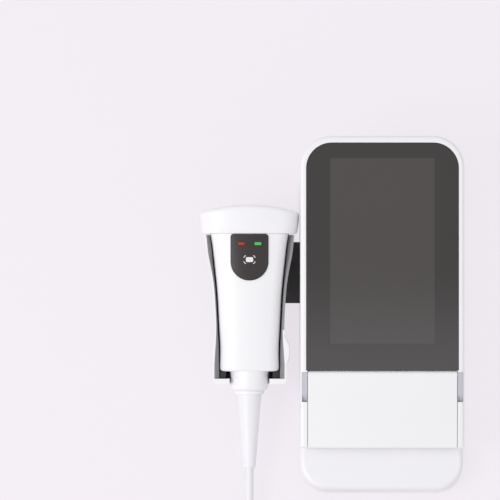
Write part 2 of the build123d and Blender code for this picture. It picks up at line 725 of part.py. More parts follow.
with BuildPart() as power_inlet:
    with BuildSketch(Plane(origin=(0, port_face_y, 0), x_dir=(1, 0, 0), z_dir=(0, -1, 0))):
        with Locations((inlet_x, inlet_z)):
            Rectangle(inlet_w, inlet_h)
            Circle(inlet_bore_r, mode=Mode.SUBTRACT)
    extrude(amount=inlet_l - inlet_floor)
    with BuildSketch(Plane(origin=(0, inlet_floor_y, 0), x_dir=(1, 0, 0), z_dir=(0, -1, 0))):
        with Locations((inlet_x, inlet_z)):
            Rectangle(inlet_w, inlet_h)
    extrude(amount=inlet_floor)
power_inlet.part.label = "power_inlet"
export_step(power_inlet.part, "parts/power_inlet.step")

with BuildPart() as inlet_pin:
    with BuildSketch(Plane(origin=(inlet_x, inlet_floor_y, inlet_z), z_dir=(0, 1, 0))):
        Circle(inlet_pin_r)
    extrude(amount=inlet_l - inlet_floor - 2.0)
    fillet(inlet_pin.faces().sort_by(Axis.Y)[-1].edges(), inlet_pin_r * 0.6)
inlet_pin.part.label = "inlet_pin"
export_step(inlet_pin.part, "parts/inlet_pin.step")

button_flange_r = button_r + 1.4
button_flange_t = 1.0
flange_y = back_y - wall - 0.1
plunger_gap = 0.1
with BuildPart() as power_button:
    with BuildSketch(Plane(origin=(button_x, back_y, button_z), z_dir=(0, -1, 0))):
        Circle(button_r)
    extrude(amount=back_y - flange_y + button_flange_t)
    fillet(power_button.faces().sort_by(Axis.Y)[-1].edges(), 0.5)
    with BuildSketch(Plane(origin=(button_x, flange_y, button_z), z_dir=(0, -1, 0))):
        Circle(button_flange_r)
    extrude(amount=button_flange_t)
power_button.part.label = "power_button"
export_step(power_button.part, "parts/power_button.step")

switch_face_y = flange_y - button_flange_t - button_travel - plunger_gap
with BuildPart() as power_switch:
    with Locations((button_x, switch_face_y - 3.0, board_top)):
        Box(12.0, 6.0, button_z - board_top + 5.0, align=(Align.CENTER, Align.CENTER, Align.MIN))
    with BuildSketch(Plane(origin=(button_x, switch_face_y, button_z), z_dir=(0, 1, 0))):
        Circle(1.6)
    extrude(amount=plunger_gap / 2)
power_switch.part.label = "power_switch"
export_step(power_switch.part, "parts/power_switch.step")


# Scanner frame: across, up its axis from the grip end, outward
grip = Plane(origin=on_face(scan_x - reader_x, grip_v, -axis_depth), x_dir=(1, 0, 0), z_dir=out_face)
grip_len = grip_stations[-1][0]


def on_grip(u, s, m):
    return grip.from_local_coords((u, s, m))


def grip_section(s):
    """Plane across the scanner's axis, local axes across and outward."""
    return Plane(origin=on_grip(0, s, 0), x_dir=(1, 0, 0), z_dir=-up_face)


def grip_sketch(m):
    """Plane along the scanner's axis at height m, local axes across and up the axis."""
    return Plane(origin=on_grip(0, 0, m), x_dir=(1, 0, 0), z_dir=out_face)


def grip_side(u):
    """Upright plane along the scanner's axis, local axes up the axis and outward."""
    return Plane(origin=on_grip(u, 0, 0), x_dir=up_face, z_dir=(1, 0, 0))


def grip_outline(half_w, half_d, corner):
    """Edges of the grip's outline: crowned front and back, gently bowed sides."""
    crown, bow = half_d * 0.22, half_w * 0.06
    x, y = half_w - bow, half_d - crown
    with BuildLine(Plane.XY, mode=Mode.PRIVATE) as outline:
        ThreePointArc((-x, y), (0, half_d), (x, y))
        ThreePointArc((x, y), (half_w, 0), (x, -y))
        ThreePointArc((x, -y), (0, -half_d), (-x, -y))
        ThreePointArc((-x, -y), (-half_w, 0), (-x, y))
    with BuildSketch(Plane.XY, mode=Mode.PRIVATE) as shape:
        make_face(outline.edges())
        fillet(vertices(), corner)
    return shape.sketch.edges()


def grip_slab(low, high):
    """Block across the scanner's axis that keeps a stretch of it."""
    with BuildPart(mode=Mode.PRIVATE) as slab:
        with BuildSketch(grip_section(high)):
            Rectangle(4 * head_w, 4 * head_d)
        extrude(amount=high - low)
    return slab.part


def grip_body(grow, low=0.0, high=0.0):
    """Solid grip grown by an amount, from low above its end to high past its top."""
    past = grip_len + 2 * head_len / 3
    s1, w1, d1 = grip_stations[-2]
    s2, w2, d2 = grip_stations[-1]
    share = (past - s2) / (s2 - s1)
    with BuildPart(mode=Mode.PRIVATE) as body:
        for s, half_w, half_d in grip_stations + ((past, w2 + (w2 - w1) * share, d2 + (d2 - d1) * share),):
            with BuildSketch(grip_section(s)):
                make_face(grip_outline(half_w + grow, half_d + grow, grip_corner_r + grow))
        loft()
        add(grip_slab(low, grip_len + high), mode=Mode.INTERSECT)
        if grow == 0:
            fillet(body.faces().sort_by(lambda f: (f.center() - face_foot).dot(up_face))[0].edges(), grip_end_r)
    return body.part


grip_outer = grip_body(0)
grip_core = grip_body(-shell_t, low=shell_t, high=2.0)
spigot_r = 6.0
spigot_len = 4.0
fit_gap = 0.1
key_top_s = grip_len - key_top_gap
key_mid_s = key_top_s - key_straight


def key_outline(grow):
    """Edges of the D-shaped key, straight at the top and round below."""
    w = key_w / 2 + grow
    with BuildLine(Plane.XY, mode=Mode.PRIVATE) as d_line:
        Polyline((-w, key_mid_s), (-w, key_top_s + grow), (w, key_top_s + grow), (w, key_mid_s))
        ThreePointArc((w, key_mid_s), (0, key_mid_s - w), (-w, key_mid_s))
    with BuildSketch(Plane.XY, mode=Mode.PRIVATE) as d_shape:
        make_face(d_line.edges())
        fillet(d_shape.vertices().group_by(Axis.Y)[-1], key_corner_r)
    return d_shape.sketch.edges()


light_s = key_top_s - light_drop
grip_screw_spots = [(0.0, 14.0), (0.0, 70.0)]
grip_boss_r = 3.2
with BuildPart() as scanner_front_shell:
    add(grip_outer)
    add(grip_core, mode=Mode.SUBTRACT)
    split(bisect_by=grip.offset(seam / 2), keep=Keep.TOP)
    with BuildSketch(grip_sketch(0)):
        make_face(key_outline(key_gap))
    extrude(amount=head_d, mode=Mode.SUBTRACT)
    with BuildSketch(grip_section(-2)):
        Circle(spigot_r + fit_gap)
    extrude(amount=-(2 + shell_t + 2), mode=Mode.SUBTRACT)
    with BuildSketch(grip_sketch(seam / 2)):
        with Locations(grip_screw_spots[0]):
            Circle(grip_boss_r)
            Circle(screw_r + shank_gap, mode=Mode.SUBTRACT)
    extrude(amount=grip_stations[0][2] - shell_t / 2 - seam / 2)
scanner_front_shell.part.label = "scanner_front_shell"
export_step(scanner_front_shell.part, "parts/scanner_front_shell.step")

board2_w, board2_t, board2_m = 24.0, 1.2, 2.0
board2_low, board2_high = 22.0, 78.0
grip_head_m = 3.0      # depth of the screw seat behind the parting plane
with BuildPart() as scanner_back_shell:
    add(grip_outer)
    add(grip_core, mode=Mode.SUBTRACT)
    split(bisect_by=grip.offset(-seam / 2), keep=Keep.BOTTOM)
    with BuildSketch(grip_section(-2)):
        Circle(spigot_r + fit_gap)
    extrude(amount=-(2 + shell_t + 2), mode=Mode.SUBTRACT)
    # rails under the scanner's board, and the screw tube
    for side in (-1, 1):
        with BuildSketch(grip_sketch(board2_m)):
            with Locations((side * (board2_w / 2 - 1.5), (board2_low + board2_high) / 2)):
                Rectangle(1.6, board2_high - board2_low - 8.0)
        extrude(amount=-(board2_m + grip_stations[2][2] - shell_t - 0.6))
    with BuildSketch(grip_sketch(-seam / 2)):
        with Locations(grip_screw_spots[0]):
            Circle(grip_boss_r)
    extrude(amount=-(grip_stations[0][2] - shell_t / 2 - seam / 2))
    with BuildSketch(grip_sketch(0)):
        with Locations(grip_screw_spots[0]):
            Circle(screw_r + shank_gap)
    extrude(amount=-head_d, mode=Mode.SUBTRACT)
    with BuildSketch(grip_sketch(-grip_head_m)):
        with Locations(grip_screw_spots[0]):
            Circle(screw_head_r + 0.2)
    extrude(amount=-head_d, mode=Mode.SUBTRACT)
scanner_back_shell.part.label = "scanner_back_shell"
export_step(scanner_back_shell.part, "parts/scanner_back_shell.step")

scanner_screws = screws([tuple(on_grip(grip_screw_spots[0][0], grip_screw_spots[0][1], -grip_head_m))],
                        tuple(-out_face))
scanner_screws.label = "scanner_screws"
export_step(scanner_screws, "parts/scanner_screws.step")

# Scan key: a D of the same crown as the grip, with a flange inside the shell
flange_rim = 1.2
flange_t = 0.9
key_outer, key_inner = grip_body(key_proud, high=5.0), grip_body(-shell_t - flange_t - 0.1, high=5.0)
flange_outer = grip_body(-shell_t - 0.1, high=5.0)
with BuildPart() as scan_key:
    with BuildSketch(grip_sketch(0)):
        make_face(key_outline(flange_rim))
    extrude(amount=head_d)
    add(flange_outer, mode=Mode.INTERSECT)
    with BuildSketch(grip_sketch(0)):
        make_face(key_outline(0))
    extrude(amount=head_d)
    add(key_outer, mode=Mode.INTERSECT)
    add(key_inner, mode=Mode.SUBTRACT)
    with BuildSketch(grip_sketch(0)):
        with Locations((-light_off, light_s), (light_off, light_s)):
            RectangleRounded(light_w + 2 * light_gap, light_h + 2 * light_gap, light_corner_r + light_gap)
    extrude(amount=head_d, mode=Mode.SUBTRACT)
    with BuildSketch(grip_sketch(0)):
        with Locations((0, grip_len + 10.0 - key_top_gap / 2)):
            Rectangle(key_w * 2, 20.0)
    extrude(amount=head_d, mode=Mode.SUBTRACT)
scan_key.part.label = "scan_key"
export_step(scan_key.part, "parts/scan_key.step")
print("key solids", len(scan_key.solids()))

light_top = (grip_stations[-2][2] + grip_stations[-1][2]) / 2 + key_proud - 0.45
for side, name in ((-1, "red_light"), (1, "green_light")):
    with BuildPart() as light_pipe:
        with BuildSketch(grip_sketch(board2_m + board2_t)):
            with Locations((side * light_off, light_s)):
                RectangleRounded(light_w, light_h, light_corner_r)
        extrude(amount=light_top - board2_m - board2_t)
    light_pipe.part.label = name
    export_step(light_pipe.part, "parts/" + name + ".step")

with BuildPart() as scanner_board:
    with BuildSketch(grip_sketch(board2_m)):
        with Locations((0, (board2_low + board2_high) / 2)):
            RectangleRounded(board2_w, board2_high - board2_low, 2.0)
    extrude(amount=board2_t)
scanner_board.part.label = "scanner_board"
export_step(scanner_board.part, "parts/scanner_board.step")

switch_s = key_mid_s - 2.0
switch_top = grip_stations[4][2] - shell_t - flange_t - 0.1 - key_travel - 0.4
with BuildPart() as trigger_switch:
    with BuildSketch(grip_sketch(board2_m + board2_t)):
        with Locations((0, switch_s)):
            Rectangle(6.2, 6.2)
    extrude(amount=switch_top - 1.2 - board2_m - board2_t)
    with BuildSketch(grip_sketch(switch_top - 1.2)):
        with Locations((0, switch_s)):
            Circle(1.8)
    extrude(amount=1.2)
trigger_switch.part.label = "trigger_switch"
export_step(trigger_switch.part, "parts/trigger_switch.step")

scanner_chip_rows = (  # across and along the scanner's board, width, length, height
    (-5.0, 34.0, 9.0, 9.0, 1.2),
    (6.0, 44.0, 7.0, 7.0, 1.0),
    (0.0, 26.0, 10.0, 4.0, 3.0),
)
with BuildPart() as scanner_chips:
    for across, along, cw, cl, ch in scanner_chip_rows:
        with BuildSketch(grip_sketch(board2_m + board2_t)):
            with Locations((across, along)):
                Rectangle(cw, cl)
        extrude(amount=ch)
scanner_chips.part.label = "scanner_chips"
export_step(scanner_chips.part, "parts/scanner_chips.step")

beeper_r, beeper_h = 4.5, 4.0
with BuildPart() as beeper:
    with BuildSketch(grip_sketch(board2_m)):
        with Locations((0, 46.0)):
            Circle(beeper_r)
            Circle(1.0, mode=Mode.SUBTRACT)
    extrude(amount=-beeper_h)
beeper.part.label = "beeper"
export_step(beeper.part, "parts/beeper.step")

# Head: an oval cap, hollow, crowned across the top, with the scan window in its end
head_low_s = grip_len + seam
head_top_s = head_low_s + head_len
head_corner_r = 13.0   # rounding between the head's faces
head_edge_r = 2.6      # softened upper edge
head_low_edge_r = 0.8  # and lower edge
head_spread = 1.6      # head's half depth gained from its lower edge to its widest
window_w, window_d, window_t = 40.0, 22.0, 1.5
window_ledge = 2.0
window_s = head_top_s - head_crown * 0.85


def head_body(inset, low, top):
    """Oval head drawn in by an inset, from low to the middle of its crowned top."""
    wide_s = head_top_s - head_crown
    steps = ((0.0, head_neck_w / 2, head_d / 2 - head_spread),
             (0.45, head_neck_w / 2 + (head_w - head_neck_w) * 0.36, head_d / 2 - head_spread * 0.3),
             (1.0, head_w / 2, head_d / 2),
             (1.5, head_w / 2, head_d / 2))
    chord = head_w / 2
    bow_r = (chord**2 + head_crown**2) / (2 * head_crown)
    with BuildPart(mode=Mode.PRIVATE) as oval:
        for share, half_w, half_d in steps:
            with BuildSketch(grip_section(head_low_s + (wide_s - head_low_s) * share)):
                make_face(grip_outline(half_w - inset, half_d - inset, head_corner_r - inset))
        loft()
        add(grip_slab(low, top + 1), mode=Mode.INTERSECT)
        with BuildSketch(grip_sketch(-head_d)):
            with Locations((0, top - bow_r)):
                Circle(bow_r)
        extrude(amount=2 * head_d, mode=Mode.INTERSECT)
        if inset == 0:
            for end, radius in ((-1, head_edge_r), (0, head_low_edge_r)):
                ends = oval.faces().sort_by(lambda f: (f.center() - face_foot).dot(up_face))
                fillet(ends[end].edges(), radius)
    return oval.part


with BuildPart() as scanner_head:
    add(head_body(0, head_low_s, head_top_s))
    add(head_body(shell_t, head_low_s + shell_t, head_top_s - shell_t), mode=Mode.SUBTRACT)
    with BuildSketch(grip_section(head_top_s + 1)):
        RectangleRounded(window_w + 0.2, window_d + 0.2, 3.0)
    extrude(amount=head_top_s + 1 - window_s + window_t, mode=Mode.SUBTRACT)
    # ledge frame that carries the window
    with BuildSketch(grip_section(window_s - window_t)):
        make_face(grip_outline(head_w / 2 - shell_t / 2, head_d / 2 - shell_t / 2, head_corner_r - shell_t / 2))
        RectangleRounded(window_w - 2 * window_ledge, window_d - 2 * window_ledge, 2.0, mode=Mode.SUBTRACT)
    extrude(amount=1.2)
    with BuildSketch(grip_section(head_low_s - 1)):
        RectangleRounded(26.0, 10.0, 3.0)
    extrude(amount=-(shell_t + 2), mode=Mode.SUBTRACT)
scanner_head.part.label = "scanner_head"
export_step(scanner_head.part, "parts/scanner_head.step")
print("head solids", len(scanner_head.solids()), scanner_head.part.bounding_box().size)

with BuildPart() as scan_window:
    with BuildSketch(grip_section(window_s)):
        RectangleRounded(window_w, window_d, 2.9)
    extrude(amount=window_t)
scan_window.part.label = "scan_window"
export_step(scan_window.part, "parts/scan_window.step")

imager_s = head_low_s + shell_t
with BuildPart() as imager_module:
    with BuildSketch(grip_section(imager_s)):
        Rectangle(34.0, 20.0)
        Rectangle(28.0, 12.0, mode=Mode.SUBTRACT)
    extrude(amount=-3.0)
    with BuildSketch(grip_section(imager_s + 3.0)):
        Rectangle(34.0, 20.0)
    extrude(amount=-3.0)
    with BuildSketch(grip_section(imager_s + 6.0)):
        Circle(4.5)
        with Locations((-11.0, 0), (11.0, 0)):
            Circle(2.5)
    extrude(amount=-2.0)
imager_module.part.label = "imager_module"
export_step(imager_module.part, "parts/imager_module.step")

# Collar, ring and bend relief at the grip end
with BuildPart() as end_collar:
    with BuildSketch(grip_side(0)):
        with BuildLine():
            Polyline((spigot_len, 0), (spigot_len, spigot_r), (0, spigot_r), (0, collar_r),
                     (-collar_len * 0.45, collar_r - 0.5), (-collar_len, collar_r - 0.4))
            Line((-collar_len, collar_r - 0.4), (-collar_len, 0))
            Line((-collar_len, 0), (spigot_len, 0))
        make_face()
    revolve(axis=Axis(on_grip(0, 0, 0), up_face))
    fillet(end_collar.edges().filter_by(GeomType.CIRCLE)
           .sort_by(lambda e: (e.arc_center - face_foot).dot(up_face))[0], 2.6)
end_collar.part.label = "end_collar"
export_step(end_collar.part, "parts/end_collar.step")

with BuildPart() as collar_ring:
    with BuildSketch(grip_section(-collar_len)):
        Circle(ring_r)
    extrude(amount=ring_len)
    fillet(collar_ring.edges().filter_by(GeomType.CIRCLE), 0.5)
collar_ring.part.label = "collar_ring"
export_step(collar_ring.part, "parts/collar_ring.step")

boot_top = -(collar_len + ring_len)
with BuildPart() as cord_boot:
    with BuildSketch(grip_side(0)):
        with BuildLine():
            Polyline((boot_top, 0), (boot_top, boot_r), (boot_top - 4.0, boot_r - 0.4),
                     (boot_top - boot_len, boot_tip_r), (boot_top - boot_len, 0), close=True)
        make_face()
    revolve(axis=Axis(on_grip(0, 0, 0), up_face))
cord_boot.part.label = "cord_boot"
export_step(cord_boot.part, "parts/cord_boot.step")


# Cradle: an open trough that follows the grip, with a notched floor for the collar
rim_m = axis_depth - rim_depth
cradle_floor_s = -lip_drop
cradle_low_s = -(lip_drop + lip_t)
cradle_top_s = grip_len - 0.5
notch_r = collar_r + 0.35


def between(rows, s):
    """Sizes at a place on the scanner's axis, between rows that start with their places."""
    s = max(s, rows[0][0])
    for low, high in zip(rows, rows[1:]):
        if s <= high[0]:
            break
    share = (s - low[0]) / (high[0] - low[0])
    return tuple(a + (b - a) * share for a, b in zip(low[1:], high[1:]))


def along_grip(section, corner, low, high, end_r=0.0):
    """Solid that follows the grip between two places: lofted sections, straight below the first of them.

    The sections' lowest corners are rounded, and so is the solid's low end if it has a radius.
    """

    def draw(s, room):
        with BuildSketch(grip_section(s), mode=Mode.PRIVATE) as drawn:
            with BuildLine():
                Polyline(*section(s, room), close=True)
            make_face()
            fillet(vertices().group_by(Axis.Y)[0], corner)
        return drawn.sketch

    foot_s = cradle_stations[0][0]
    with BuildPart(mode=Mode.PRIVATE) as block:
        extrude(draw(*cradle_stations[0]), amount=foot_s - low)
        if end_r:
            end = block.faces().sort_by(lambda f: (f.center() - face_foot).dot(up_face))[0]
            fillet(end.edges().sort_by(lambda e: (e.center() - face_foot).dot(out_face))[:-1], end_r)
        loft([draw(s, room) for s, room in cradle_stations])
        add(grip_slab(low, high), mode=Mode.INTERSECT)
    return block.part


def trough(rim, low, high, inset=0.0, back_inset=0.0):
    """Solid of the cradle's outside up to a rim, its walls and back drawn in by insets."""

    def section(s, room):
        half_w, half_d = between(grip_stations, s)
        rim_w = half_w + room - inset
        back = half_d + liner_gap + liner_t + cradle_back_wall - back_inset
        draft = cradle_draft * (room - cradle_wall - liner_t)
        slope = draft / (rim_m + back)
        top_w = rim_w + slope * (rim - rim_m)
        return [(-rim_w + draft, -back), (rim_w - draft, -back), (top_w, rim), (-top_w, rim)]

    return along_grip(section, cradle_r - back_inset, low, high, end_r=cradle_end_r if inset == 0 else 0.0)


def well(low, high):
    """Room for the grip in the liner: a slot along its sides that bevels out to the rim."""

    def section(s, room):
        half_w, half_d = between(grip_stations, s)
        slot, back = half_w + liner_side_gap, half_d + liner_gap
        mouth = half_w + room - cradle_wall - liner_fit - liner_edge
        above, bevel = rim_m + 8, rim_m - liner_bevel
        return [(-slot, -back), (slot, -back), (slot, bevel), (mouth, rim_m), (mouth, above),
                (-mouth, above), (-mouth, rim_m), (-slot, bevel)]

    return along_grip(section, well_r, low, high)


def right_arm(low_m, rise, low_s):
    """Block over the cradle's right arm, from a height up and from a place along the grip."""
    with BuildPart(mode=Mode.PRIVATE) as block:
        with BuildSketch(grip_sketch(low_m)):
            with Locations((head_w / 2, (low_s + grip_len + 10) / 2)):
                Rectangle(head_w, grip_len + 10 - low_s)
        extrude(amount=rise)
    return block.part


liner_drop = 0.5
liner_fit = 0.05
well_r = cradle_r - cradle_back_wall - liner_t
pad_l, pad_w = 30.0, 26.0
pad_s = bracket_mid_v - grip_v
plate_m = axis_depth - bracket_depth
pad_screws = [(0.0, pad_s + d) for d in (-9.0, 9.0)]
pad_screw_r = 1.25
bump_out = 24.4        # moulded bump on the reader's side
bump_feet = (1.6, 24.3)
bump_flat = (8.3, 15.6)
bump_d = 12.0
with BuildPart() as wall_bump:
    with BuildSketch(grip_sketch(rim_m - bump_d)):
        with BuildLine():
            inside = between(grip_stations, 0)[0]
            foot_u = [inside + between(cradle_stations, s)[0] - 0.4 for s in bump_feet]
            Polyline((inside, bump_feet[0]), (foot_u[0], bump_feet[0]), (bump_out, bump_flat[0]),
                     (bump_out, bump_flat[1]), (foot_u[1], bump_feet[1]), (inside, bump_feet[1]), close=True)
        make_face()
        fillet(vertices().group_by(Axis.X)[-1], 3.0)
    extrude(amount=bump_d)
    rim_face = wall_bump.faces().sort_by(lambda f: (f.center() - face_foot).dot(out_face))[-1]
    chamfer(rim_face.edges().sort_by(lambda e: e.center().X)[-3:], 0.8)
with BuildPart() as cradle_shell:
    with BuildSketch(grip_sketch(plate_m)):
        with Locations((0, pad_s)):
            RectangleRounded(pad_w, pad_l, 3.0)
    extrude(amount=10.0)
    add(trough(rim_m, cradle_low_s, cradle_top_s))
    add(wall_bump.part)
    add(trough(rim_m + 8, cradle_floor_s, cradle_top_s + 1, cradle_wall, cradle_back_wall), mode=Mode.SUBTRACT)
    with BuildSketch(grip_section(cradle_floor_s + 2)):
        with Locations((0, 10.0)):
            Rectangle(2 * notch_r, 20.0)
        Circle(notch_r)
    extrude(amount=lip_t + 6, mode=Mode.SUBTRACT)
    with BuildSketch(grip_sketch(plate_m)):
        with Locations(*pad_screws):
            Circle(pad_screw_r + shank_gap)
    extrude(amount=4.5, mode=Mode.SUBTRACT)
    add(right_arm(rim_m - lip_cover_t, 20.0, lip_cover_s), mode=Mode.SUBTRACT)
cradle_shell.part.label = "cradle_shell"
export_step(cradle_shell.part, "parts/cradle_shell.step")
print("cradle solids", len(cradle_shell.solids()), cradle_shell.part.bounding_box().size)

with BuildPart(mode=Mode.PRIVATE) as rim_lap:
    add(trough(rim_m, cradle_floor_s + liner_fit, cradle_top_s - 0.5, 3 * liner_fit, cradle_back_wall))
    add(right_arm(rim_m - lip_cover_t + liner_fit, 20.0, lip_cover_s + liner_fit), mode=Mode.INTERSECT)
with BuildPart() as cradle_liner:
    add(trough(rim_m - liner_drop, cradle_floor_s + liner_fit, cradle_top_s - 0.5, cradle_wall + liner_fit,
               cradle_back_wall + liner_fit))
    add(rim_lap.part)
    add(well(cradle_floor_s - 1, cradle_top_s + 1), mode=Mode.SUBTRACT)
cradle_liner.part.label = "cradle_liner"
export_step(cradle_liner.part, "parts/cradle_liner.step")
print("liner solids", len(cradle_liner.solids()))

seat_w, seat_d, seat_u = 4.2, 7.0, 16.1
seat_gap = 0.3
with BuildPart() as seat_pads:
    with BuildSketch(grip_section(-seat_gap)):
        with Locations((-seat_u, 1.0), (seat_u, 1.0)):
            RectangleRounded(seat_w, seat_d, 1.0)
    extrude(amount=lip_drop - seat_gap)
seat_pads.part.label = "seat_pads"
export_step(seat_pads.part, "parts/seat_pads.step")

# Bracket between the cradle and the reader's side
bracket_left = scan_x - pad_w / 2 - reader_x
with BuildPart() as side_bracket:
    with BuildSketch(face_sketch(-bracket_depth)):
        with Locations(((bracket_left - reader_w / 2) / 2, bracket_mid_v)):
            Rectangle(-reader_w / 2 - bracket_left, bracket_len)
        fillet(vertices().group_by(Axis.X)[0], 4.0)
    extrude(amount=-bracket_t)
    with BuildSketch(face_sketch(-bracket_depth)):
        with Locations((-reader_w / 2 - bracket_t / 2, bracket_mid_v)):
            Rectangle(bracket_t, bracket_len)
    extrude(amount=-(bracket_t + bracket_drop))
    for spot in side_screws:
        with BuildSketch(Plane(origin=spot + Vector(1, 0, 0), z_dir=(-1, 0, 0))):
            Circle(screw_r + shank_gap)
        extrude(amount=bracket_t + 2, mode=Mode.SUBTRACT)
    with BuildSketch(grip_sketch(plate_m + 1)):
        with Locations(*pad_screws):
            Circle(pad_screw_r + shank_gap)
    extrude(amount=-(bracket_t + 2), mode=Mode.SUBTRACT)
    fillet(side_bracket.faces().sort_by(lambda f: (f.center() - face_foot).dot(out_face))[0]
           .edges().filter_by(Axis.X), 1.0)
side_bracket.part.label = "side_bracket"
export_step(side_bracket.part, "parts/side_bracket.step")

bracket_screws = screws([tuple(s - Vector(bracket_t, 0, 0)) for s in side_screws], (-1, 0, 0))
bracket_screws.label = "bracket_screws"
export_step(bracket_screws, "parts/bracket_screws.step")
cradle_screws = screws([tuple(on_grip(u, s, plate_m - bracket_t)) for u, s in pad_screws], tuple(-out_face))
cradle_screws.label = "cradle_screws"
export_step(cradle_screws, "parts/cradle_screws.step")

# Cord: a lead from the bend relief to the bench, a neat coil held by a tie, and the plug's tail
cord_exit = on_grip(0, boot_top - boot_len, 0)
coil_x, coil_y = scan_x + 24.0, -178.6
coil_low = tie_t


def tube(points, name):
    """Cord along straight runs joined by arcs as large as the runs allow."""
    points = [Vector(*q) for q in points]
    radii = []
    for a, b, c in zip(points, points[1:], points[2:]):
        one, two = b - a, c - b
        turn = radians(one.get_angle(two))
        radii.append(0.45 * min(one.length, two.length) / tan(turn / 2))
    with BuildPart() as made:
        with BuildLine() as route:
            FilletPolyline(*points, radius=radii)
        with BuildSketch(Plane(origin=points[0], z_dir=points[1] - points[0])):
            Circle(cord_r)
        sweep()
    length = route.wires()[0].length if route.wires() else sum(e.length for e in route.edges())
    print(name, "radii", [round(r, 1) for r in radii], "length", round(length, 1),
          "volume ratio", round(made.part.volume / (3.14159265 * cord_r**2 * length), 4))
    made.part.label = name
    export_step(made.part, "parts/" + name + ".step")


coil_out_r = coil_r + coil_w / 2
coil_in_r = coil_r - coil_w / 2
turn_r = coil_out_r - cord_r
lead_x = coil_x - turn_r
touch = ((coil_out_r + cord_r + 0.15) ** 2 - turn_r**2) ** 0.5
lay_z = coil_low + cord_r
tube([
    tuple(cord_exit),
    tuple(cord_exit - up_face * 16.0),
    (scan_x - 0.4, cord_exit.Y - 33.0, lay_z + 2.9),
    (lead_x - 1.0, coil_y + touch + 20.5, lay_z + 0.3),
    (lead_x, coil_y + touch, lay_z),
], "cord_lead")

with BuildPart() as cord_coil:
    with BuildSketch(Plane(origin=(coil_x, coil_y, coil_low), x_dir=(1, 0, 0), z_dir=(0, -1, 0))):
        with Locations((coil_r, coil_h / 2)):
            RectangleRounded(coil_w, coil_h, 2.5)
    revolve(axis=Axis((coil_x, coil_y, 0), (0, 0, 1)))
cord_coil.part.label = "cord_coil"
export_step(cord_coil.part, "parts/cord_coil.step")

tie_angle = 60.0
tie_in = (coil_in_r**2 - (tie_w / 2) ** 2) ** 0.5 - tie_t
tie_out = coil_out_r + tie_t
tie_out_dir = Vector(cos(radians(tie_angle)), sin(radians(tie_angle)), 0)
with BuildPart() as cord_tie:
    with BuildSketch(Plane(origin=Vector(coil_x, coil_y, 0) + tie_out_dir * tie_in, x_dir=(0, 0, 1),
                           z_dir=tie_out_dir)):
        with Locations((coil_h / 2 + tie_t, 0)):
            Rectangle(coil_h + 2 * tie_t, tie_w)
    extrude(amount=tie_out - tie_in)
    fillet(cord_tie.edges().filter_by(lambda e: abs(e.tangent_at(0.5).dot(tie_out_dir)) < 0.01)
           .filter_by(Axis.Z, reverse=True), 2.0)
    add(cord_coil.part, mode=Mode.SUBTRACT)
cord_tie.part.label = "cord_tie"
export_step(cord_tie.part, "parts/cord_tie.step")

plug_z = grip_h / 2
tail_end = Vector(coil_x + 66.0, coil_y - 22.5, plug_z)
tail_turn = Vector(coil_x + 51.5, coil_y - 25.0, plug_z)
tube([
    (coil_x + touch, coil_y - turn_r, coil_low + coil_h / 2),
    (coil_x + touch + 15.5, coil_y - turn_r + 0.6, lay_z + 1.6),
    tuple(tail_turn),
    tuple(tail_end),
], "cord_tail")

neck_r, neck_l = 3.3, 9.0
plug_dir = (tail_end - tail_turn).normalized()
plug_across = Vector(plug_dir.Y, -plug_dir.X, 0)


def plug_at(d):
    return Plane(origin=tail_end + plug_dir * d, x_dir=plug_across, z_dir=plug_dir)


with BuildPart() as plug_grip:
    with BuildSketch(plug_at(neck_l)):
        RectangleRounded(grip_w, grip_h, 2.4)
    extrude(amount=grip_l)
    fillet(plug_grip.faces().sort_by(lambda f: (f.center() - tail_end).dot(plug_dir))[0].edges(), 1.6)
    with BuildSketch(plug_at(0)):
        Circle(neck_r)
    extrude(amount=neck_l + 4.0)
plug_grip.part.label = "plug_grip"
export_step(plug_grip.part, "parts/plug_grip.step")

with BuildPart() as plug_shell:
    with BuildSketch(plug_at(neck_l + grip_l)):
        RectangleRounded(plug_w, plug_shell_h, 0.5)
        Rectangle(plug_w - 2 * port_wall, plug_shell_h - 2 * port_wall, mode=Mode.SUBTRACT)
    extrude(amount=plug_shell_l)
    with BuildSketch(plug_at(neck_l + grip_l)):
        with Locations((0, -plug_shell_h / 2 + port_wall + 0.9)):
            Rectangle(plug_w - 2 * port_wall, 1.8)
    extrude(amount=plug_shell_l - 0.4)
plug_shell.part.label = "plug_shell"
export_step(plug_shell.part, "parts/plug_shell.step")
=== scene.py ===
import math

import bpy
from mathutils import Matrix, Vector


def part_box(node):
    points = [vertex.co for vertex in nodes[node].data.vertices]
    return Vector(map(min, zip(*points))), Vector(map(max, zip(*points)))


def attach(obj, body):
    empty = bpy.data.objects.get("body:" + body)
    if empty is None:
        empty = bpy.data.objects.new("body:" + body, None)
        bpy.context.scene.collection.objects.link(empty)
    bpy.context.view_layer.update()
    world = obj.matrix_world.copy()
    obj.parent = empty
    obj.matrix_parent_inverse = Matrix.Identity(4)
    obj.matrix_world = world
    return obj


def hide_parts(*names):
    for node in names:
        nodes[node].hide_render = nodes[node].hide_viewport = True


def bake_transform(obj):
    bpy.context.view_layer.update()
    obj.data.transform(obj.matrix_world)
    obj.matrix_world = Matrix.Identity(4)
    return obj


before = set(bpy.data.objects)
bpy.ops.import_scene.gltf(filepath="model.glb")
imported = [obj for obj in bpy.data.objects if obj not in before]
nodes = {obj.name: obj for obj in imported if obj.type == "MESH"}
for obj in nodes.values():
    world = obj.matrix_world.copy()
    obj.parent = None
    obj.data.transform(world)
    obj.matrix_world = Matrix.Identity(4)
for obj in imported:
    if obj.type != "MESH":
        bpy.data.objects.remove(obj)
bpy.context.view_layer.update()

# the reader's sloping face: across, up the face from the ledge's front edge, outward
face = {"tilt": math.radians(12.0), "readerX": 0.0301, "scannerX": -0.0493, "gripV": 0.0706,
        "axisDepth": 0.02, "readerLength": 0.2042, "backHeight": 0.07325, "ledgeHeight": 0.015}
